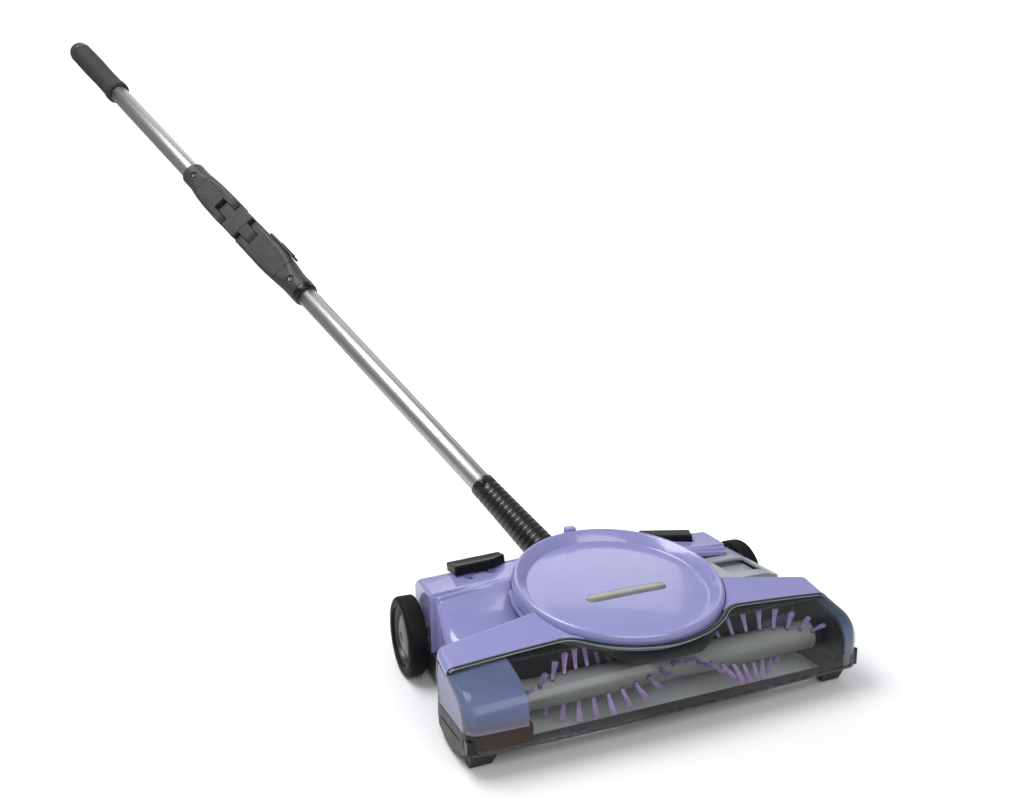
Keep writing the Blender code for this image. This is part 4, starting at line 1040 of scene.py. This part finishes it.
def pedal_body(length, depth, place, height=6.8, chamfer=0.0, low=-1.2):
    """A pedal with a soft hollow along its top; chamfer cuts back the right end's front corner."""
    rows = []
    for x in steps(-length / 2, length / 2, 36):
        front = chamfer * max(0.0, (x - 10.0) / (length / 2 - 10.0))
        row = [(x, front, low), (x, depth, low)]
        for y in steps(depth, front, 12):
            hollow = 0.7 * math.sin(math.pi * (y - front) / (depth - front)) ** 2 * (1 - (2 * x / length) ** 6)
            row.append((x, y, height - hollow))
        rows.append(row)
    return moved(loft(rows), place)


def power_mark(place, at, size, lift):
    """An open ring with a bar, as on most switches."""
    rows = []
    for a in steps(125, 415, 40):
        ring = ((size - 0.28, 0), (size - 0.22, 0.14), (size + 0.22, 0.14), (size + 0.28, 0))
        rows.append([(*polar(r, a, *at), lift + z) for r, z in ring])
    bar = box((at[0] - 0.28, at[1] + size * 0.35, lift), (at[0] + 0.28, at[1] + size * 1.25, lift + 0.14))
    return moved(merged(loft(rows), bar), place)


piece("power_pedal_fine", pedal_body(49, 26, left_place, chamfer=11.0), PEDAL_BLACK, "power", ["power_pedal"],
    bevel=1.5,
      segments=4, angle=50)
piece("power_pedal_end", moved(box((-24.7, 1.6, 0.2), (-22.0, 23.5, 5.8)), left_place), AMBER, "power",
      bevel=0.8)
piece("power_pedal_stem", moved(box((-5, 3, -15), (5, 9, 0.5)), left_place), BLACK_GLOSS, "power",
      bevel=0.5)
piece("power_mark", power_mark(left_place, (-1, 13), 3.4, 6.05), PEDAL_MARK, "power")
piece("speed_pedal_fine", pedal_body(48, 15.5, right_place), PEDAL_BLACK, "speed", ["speed_pedal"],
    bevel=1.4,
      segments=4, angle=50)
piece("speed_pedal_stem", moved(box((-5, 3, -15), (5, 9, 0.5)), right_place), BLACK_GLOSS, "speed",
      bevel=0.5)

lens = [(0, -6), (2.6, -6), (2.6, -1.0), (2.3, -0.6)]
lens += [(2.3 * c, -0.6 + 1.1 * s) for c, s in arc(0, 0, 1, 15, 75, 4)] + [(0, 0.5)]
piece("charge_lens", revolve(lens, 48, Matrix.Translation((LED_AT[0], LED_AT[1], LED_AT[2] - 1.1))),
    GREEN_LENS, "head",
      ["charge_light"])
jack = [(0, 188), (1.9, 188), (1.9, 195.4), (2.5, 196.0), (4.9, 196.0), (5.5, 195.4), (5.5, 182.5),
    (0, 182.5)]
piece("charge_socket", merged(revolve(jack, 48, Matrix.Translation((-78, 0, 50)) @ AXES["Y"]),
    box((-86, 183, 43), (-70, 186, 57))),
      DARK, "head", ["charge_jack"])

# ---------------------------------------------------------------- dust cup


def lid_top(x, y):
    return 72.5 - 3.5 * (y - 84.6) / 81.0 - 5.0 * max(0.0, (x - 130) / 21.6) ** 2


def lid_block(x_low, x_high, y_low, y_high, low, drop=0.0, corner=0.0):
    rows = []
    for y in steps(y_low, y_high, 20):
        past = max(0.0, y - (y_high - corner), y_low + corner - y)
        right_x = x_high - (corner - math.sqrt(max(0.0, corner**2 - past**2)) if corner else 0)
        top = [(x, y, lid_top(x, y) - drop) for x in steps(x_low, right_x, 24)]
        rows.append([(x_low, y, low)] + top + [(right_x, y, low)])
    return loft(rows)


piece("lid_fine", lid_block(92.6, 151.6, 84.6, 138.8, 57.4, 0, 4.0), SMOKE, "cup", ["dust_cup_lid"],
    bevel=1.6,
      segments=4, angle=40, cutters=[lid_block(95.0, 149.4, 87.0, 136.5, 50, 2.2),
      box((108, 96, 64.0), (142, 128, 80))])
piece("lid_tail", lid_block(133, 151.6, 138.9, 165.5, 58.6, 0, 3.0), SMOKE, "cup", bevel=1.2,
    segments=3, angle=40)
piece("lid_dish", box((106.4, 94.4, 61.9), (143.6, 129.6, 63.9)), SMOKE_DARK, "cup", bevel=0.6)
piece("cup_fine", box((93, 85, 10.2), (148.5, 138.5, 56)), SMOKE, "cup", ["dust_cup"], bevel=1.2,
    segments=3,
      cutters=[box((94.8, 86.8, 12), (146.7, 136.7, 70)), box((97, 80, 13.5), (143, 90, 23))])

# ---------------------------------------------------------------- neck

fork = merged(
    revolve([(0, -33), (17, -33), (17, -12.1), (16.4, -11.5), (0, -11.5)], 96, AXES["Y"]),
    revolve([(0, -38), (20.4, -38), (21, -37.4), (21, -33.8), (20.4, -33.2), (0, -33.2)], 96, AXES["Y"]),
)
piece("fork_barrel", fork, DARK, "neck", ["swivel_fork"], at=SWIVEL, smooth=40)
arms = []
for side in (-1, 1):
    low, high = sorted((side * 9.7, side * 15.0))
    ring = arc(0, 0, 9.5, -90, 90, 24)
    arms.append(loft([[(x, y, z) for y, z in [(-12, -9.5)] + ring + [(-12, 9.5)]] for x in (low, high)]))
piece("fork_arms", merged(*arms), DARK, "neck", at=SWIVEL, bevel=0.8, segments=3, angle=50)
pin = [(0, -17.8), (3.9, -17.8), (4.6, -17.1), (4.6, -15.4), (3.0, -15.4), (3.0, 14.4), (2.4, 15), (0, 15)]
piece("tilt_pin", revolve(pin, 48, AXES["X"]), STEEL, "neck", ["pitch_pin"], at=SWIVEL, smooth=40)

yoke = merged(
    rod("X", 9.2, -9.3, 9.3, segments=64, chamfer=0.6),
    revolve([(0, 0), (9.2, 0), (9.2, 37.4), (10.3, 38.2), (10.9, 39), (10.9, 43), (10.3, 43.6), (9.7, 43.8),
    (9.7, 77), (9, 78),
             (0, 78)], 64),
)
piece("yoke_fine", yoke, DARK, "lower_pole", ["neck_yoke"], at=POLE, smooth=40)


def sleeve_radius(t):
    share = (t - SLEEVE_LOW) / (SLEEVE_HIGH - SLEEVE_LOW)
    return 16.1 - 3.2 * min(1.0, share * 1.12) ** 0.85


profile = [(11.4, SLEEVE_HIGH - 0.4), (11.7, SLEEVE_HIGH), (12.1, SLEEVE_HIGH), (12.55, SLEEVE_HIGH - 0.35)]
profile += [(12.8, SLEEVE_HIGH - 1), (12.9, 133), (12.9, 130.4), (12.6, 129.6)]
RIBS = 17
pitch = (RIBS_TOP - SLEEVE_LOW) / RIBS
for i in range(RIBS):
    top = RIBS_TOP - i * pitch
    for phase, depth in ((0.03, 0.85), (0.1, 1.0), (0.18, 0.85), (0.24, 0.25), (0.3, 0.05), (0.45, 0.0),
        (0.8, 0.0),
                         (0.93, 0.05), (0.985, 0.3)):
        t = top - pitch * phase
        profile.append((sleeve_radius(t) - depth, t))
profile += [(sleeve_radius(SLEEVE_LOW) - 0.5, SLEEVE_LOW), (11.4, SLEEVE_LOW)]
piece("ribbed_sleeve", revolve(profile, 96), SLEEVE, "lower_pole", ["neck_sleeve"], at=POLE,
    smooth=60,
      cutters=[rod("Y", 3.7, -20, -8, BUTTON_AT, 48)])
snap = [(0, -14.4), (1.4, -14.3), (2.4, -13.8), (2.9, -13.1), (3.1, -12.2), (3.1, -8.4), (0, -8.4)]
snap_at = Matrix.Translation(BUTTON_AT) @ AXES["Y"]
piece("snap_button", revolve(snap, 48, snap_at), BLACK_GLOSS, "button", ["tube_button"], at=POLE,
    smooth=60)


def tube_mesh(low, high, radius=TUBE_R, wall=0.8):
    return revolve([(radius - wall, low), (radius - wall, high), (radius - 0.2, high), (radius, high - 0.2),
        (radius, low)], 96)


piece("lower_tube_fine", tube_mesh(44.2, 500), SATIN_TUBE, "lower_pole", ["lower_tube"], at=POLE,
    smooth=50,
      cutters=[rod("Y", 3.5, -20, 0, BUTTON_AT, 40)])
piece("upper_tube_fine", tube_mesh(666, HANDLE_END - 16), SATIN_TUBE, "upper_pole", ["upper_tube"],
    at=POLE,
      smooth=50)

# ---------------------------------------------------------------- fold hinge


def hinge_body(pivot, end):
    """One half of the hinge, without the round ends of its prongs."""
    toward = 1 if pivot > end else -1
    # Distance from the collar's end, half width, half height and corner radius
    table = ((0, 13.7, 13.7, 13.3), (0.9, 14.6, 14.6, 14.2), (14, 14.4, 14.2, 13.6), (22, 14.6, 13.9, 11.5),
        (31, 15.3, 13.6, 8.5), (40, 16.0, 13.4, 6.0),
             (50, 16.7, 13.1, 4.6), (62, 17.2, 12.9, 4.0), (abs(pivot - end), 17.2, 12.9, 4.0))
    rings = [rounded(*sizes, end + toward * reach) for reach, *sizes in table]
    low, high = sorted((pivot - toward * 12.3, pivot + toward * 20))
    cutters = [box((-7.5, -20, low), (7.5, 20, high))]
    low, high = sorted((end - toward * 5, end + toward * 41.5))
    cutters.append(rod("Z", 11.3, low, high, (0, 0, 0), 96))
    low, high = sorted((end + toward * 43.6, pivot - toward * 19.6))
    cutters.append(box((-13, -8, low), (13, 20, high)))
    cutters.append(rod("Y", 4.7, -20, -12.4, (0, 0, end + toward * 16), 48))
    # Parting grooves along the upper side and round the collar
    for x in (-9.6, 9.6):
        low, high = sorted((end + toward * 44, pivot - toward * 18.5))
        cutters.append(box((x - 0.35, -20, low), (x + 0.35, -12.2, high)))
    low, high = sorted((end + toward * 34.6, end + toward * 35.4))
    ring = revolve([(13.4, low), (13.4, high), (25, high), (25, low)], 96)
    cutters.append(ring)
    return loft(rings), cutters


def prong_ends(pivot):
    parts = []
    for side in (-1, 1):
        low, high = sorted((side * 7.5, side * 17.15))
        parts.append(rod("X", 12.9, low, high, (0, 0, pivot), 96, 0.7))
    return merged(*parts)


def tongue(pivot, inner_t):
    """A flat tongue with a round end about the pivot, as one outline."""
    toward = 1 if inner_t > pivot else -1
    round_end = [(y, pivot - toward * t) for y, t in arc(0, 0, 11.6, 0, 180, 40)]
    outline = round_end + [(-11.6, inner_t), (11.6, inner_t)]
    if toward > 0:
        outline = outline[::-1]
    return loft([[(x, y, t) for y, t in outline] for x in (-7.1, 7.1)])


for label, pivot, end, body in (("lower", FOLD_LOW, HINGE_LOW, "lower_pole"),
    ("upper", FOLD_HIGH, HINGE_HIGH, "upper_pole")):
    bm, cutters = hinge_body(pivot, end)
    piece("hinge_" + label + "_fine", bm, HINGE_GREY, body, ["hinge_" + label], at=FOLD,
        bevel=0.5, segments=2,
          angle=45, cutters=cutters)
    piece("hinge_prongs_" + label, prong_ends(pivot), HINGE_GREY, body, at=FOLD, smooth=40,
          cutters=[rod("X", 3.4, -30, 30, (0, 0, pivot), 48)])
    screw_t = end + (16 if pivot > end else -16)
    head_profile = [(0, -13.2), (1.2, -13.2), (1.2, -13.9), (2.4, -14.0), (3.1, -13.4), (3.1, -12.9),
        (1.5, -12.9), (1.5, -6.5),
                    (0, -6.5)]
    piece("screw_" + label, revolve(head_profile, 40, Matrix.Translation((0, 0, screw_t)) @ AXES["Y"]),
        DARK_STEEL, body,
          ["hinge_screw_" + label], at=FOLD, smooth=40)
    pin_body = "lower_pole" if label == "lower" else "link"
    pin = [(0, -17.3), (1.8, -17.3), (2.0, -17.0), (3.0, -16.6), (3.05, 16.6), (2.0, 17.0), (1.8, 17.3),
        (0, 17.3)]
    piece("fold_pin_" + label, revolve(pin, 48, Matrix.Translation((0, 0, pivot)) @ AXES["X"]), STEEL,
        pin_body,
          ["hinge_pin_" + label], at=FOLD, smooth=40)
bush = [(11.2, 452.5), (12.6, 452.5), (13.6, 453.2), (14.2, 455.0), (14.4, 459.3), (11.2, 459.3)]
piece("collar_bush", revolve(bush, 96), BLACK_GLOSS, "lower_pole", at=POLE, smooth=40)

link_low, link_high = FOLD_LOW + 14.0, FOLD_HIGH - 14.0
piece("link_middle", box((-16.6, -12.4, link_low), (16.6, 12.4, link_high)), HINGE_GREY, "link",
    ["hinge_link"],
      at=FOLD, bevel=2.0, segments=4, cutters=[box((-13.5, -8, link_low + 3.4), (13.5, 20, link_high - 3.4))])
for label, pivot, inner_t in (("lower", FOLD_LOW, link_low + 3), ("upper", FOLD_HIGH, link_high - 3)):
    piece("link_tongue_" + label, tongue(pivot, inner_t), HINGE_GREY, "link", at=FOLD,
        smooth=40,
          bevel=0.6, angle=60, cutters=[rod("X", 3.4, -30, 30, (0, 0, pivot), 48)])

piece("release_slider", box((17.6, -8.0, 502), (20.4, 6.0, 548)), HINGE_GREY, "release", ["fold_release"],
    at=FOLD,
      bevel=0.9, segments=3)
ridges = [box((20.2, -6.0, t), (21.5, 4.0, t + 2.2)) for t in (508, 512.5, 517, 521.5, 526)]
piece("release_ridges", merged(*ridges), HINGE_GREY, "release", at=FOLD, bevel=0.5,
    segments=3)

# ---------------------------------------------------------------- grip

GRIP_TABLE = [(15.9, 13.3), (19.0, 14.0), (50.0, 14.2), (80.0, 13.6), (106.0, 14.0), (112.5, 15.1),
    (117.0, 15.0), (120.0, 12.9)]
profile = [(11.4, HANDLE_END - 15.9)]
for d in steps(15.9, 120.0, 208):
    r = smooth_curve(GRIP_TABLE, d)
    if 27 < d < 103 and (d - 27) % 4.0 < 1.0:
        r -= 0.55
    profile.append((r, HANDLE_END - d))
profile.append((11.4, HANDLE_END - 120.0))
piece("grip_fine", revolve(profile, 96), FOAM, "upper_pole", ["grip"], at=POLE, smooth=50)
cap = [(0, 0), (4.2, 0), (4.8, 0.5), (8.0, 0.5), (10.2, 1.4), (12.2, 3.5), (13.4, 6.2), (14.0, 9),
    (14.0, 15.0), (13.5, 15.5),
       (9.7, 15.6), (9.7, 38), (0, 38)]
piece("grip_cap_fine", revolve([(r, HANDLE_END - d) for r, d in cap], 96), DARK, "upper_pole", ["grip_cap"],
      at=POLE, smooth=40)

# ---------------------------------------------------------------- pieces that stay as in the CAD model

KEPT = {
    "base_plate": BASE_GREY,
    "battery_door": DARK,
    "battery_pack": WRAP,
    "brush_bearing_left": DARK,
    "brush_bearing_right": DARK,
    "brush_pulley": WHITE_PLASTIC,
    "circuit_board": BOARD,
    "drive_belt": RUBBER,
    "edge_brush_left": BLACK_TUFT,
    "edge_brush_right": BLACK_TUFT,
    "front_roller_left": RUBBER,
    "front_roller_right": RUBBER,
    "lower_housing": DARK,
    "motor": STEEL,
    "motor_pulley": WHITE_PLASTIC,
    "motor_shaft": STEEL,
    "neck_bearing": DARK,
    "power_switch": BLACK_GLOSS,
    "rear_flap": RUBBER,
    "speed_switch": BLACK_GLOSS,
}
for name, material in KEPT.items():
    NODES[name].data.materials.clear()
    NODES[name].data.materials.append(material)

# ---------------------------------------------------------------- floor, light and air

# The floor is lit evenly by itself far out, so that it has no visible end
FLOOR, nodes, links, shader = new_material("floor")
place = nodes.new("ShaderNodeTexCoord").outputs["Object"]
grain = noise(nodes, links, place, 400, 3)
links.new(blend_colour(nodes, links, grain, (0.83, 0.83, 0.84), (0.87, 0.87, 0.87)),
    shader.inputs["Base Color"])
links.new(bump(nodes, links, grain, 0.05, 0.0001), shader.inputs["Normal"])
shader.inputs["Roughness"].default_value = 0.55
shader.inputs["Emission Color"].default_value = (1, 1, 1, 1)
away = nodes.new("ShaderNodeVectorMath")
away.operation = "DISTANCE"
away.inputs[1].default_value = HEAD @ Vector((0, 90, 0))
links.new(place, away.inputs[0])
glow = nodes.new("ShaderNodeMapRange")
glow.interpolation_type = "SMOOTHERSTEP"
for socket, value in (("From Min", 0.17), ("From Max", 0.5), ("To Min", 0.0), ("To Max", 0.95)):
    glow.inputs[socket].default_value = value
links.new(away.outputs["Value"], glow.inputs["Value"])
seen = nodes.new("ShaderNodeMath")
seen.operation = "MULTIPLY"
links.new(glow.outputs["Result"], seen.inputs[0])
links.new(nodes.new("ShaderNodeLightPath").outputs["Is Camera Ray"], seen.inputs[1])
links.new(seen.outputs["Value"], shader.inputs["Emission Strength"])
bm = bmesh.new()
bmesh.ops.create_grid(bm, x_segments=24, y_segments=24, size=9.0)
mesh = bpy.data.meshes.new("floor")
bm.to_mesh(mesh)
bm.free()
floor = bpy.data.objects.new("floor", mesh)
floor.location = (0, 0, -0.0002)
mesh.materials.append(FLOOR)
scene.collection.objects.link(floor)

world = bpy.data.worlds.new("studio")
scene.world = world
world.use_nodes = True
nodes, links = world.node_tree.nodes, world.node_tree.links
sky = nodes["Background"]
sky.inputs["Color"].default_value = (0.93, 0.95, 1.0, 1)
sky.inputs["Strength"].default_value = 0.38
plain = nodes.new("ShaderNodeBackground")
plain.inputs["Color"].default_value = (1, 1, 1, 1)
plain.inputs["Strength"].default_value = 1.1
mix = nodes.new("ShaderNodeMixShader")
links.new(nodes.new("ShaderNodeLightPath").outputs["Is Camera Ray"], mix.inputs["Fac"])
links.new(sky.outputs["Background"], mix.inputs[1])
links.new(plain.outputs["Background"], mix.inputs[2])
links.new(mix.outputs["Shader"], nodes["World Output"].inputs["Surface"])


def area_light(name, at, target, size, energy):
    data = bpy.data.lights.new(name, "AREA")
    data.shape = "RECTANGLE"
    data.size, data.size_y = size
    data.energy = energy
    lamp = bpy.data.objects.new(name, data)
    lamp.location = at
    lamp.rotation_euler = (Vector(target) - Vector(at)).to_track_quat("-Z", "Y").to_euler()
    scene.collection.objects.link(lamp)


centre = HEAD @ Vector((0, 90, 50))
area_light("key", centre + Vector((-0.7, 0.4, 1.6)), centre, (1.2, 0.9), 25)
area_light("back", centre + Vector((0.5, 1.8, 1.2)), centre, (1.8, 1.0), 6)
area_light("front", centre + Vector((0.0, -2.4, 2.0)), centre, (2.8, 1.6), 52)

# ---------------------------------------------------------------- final update

bpy.context.view_layer.update()
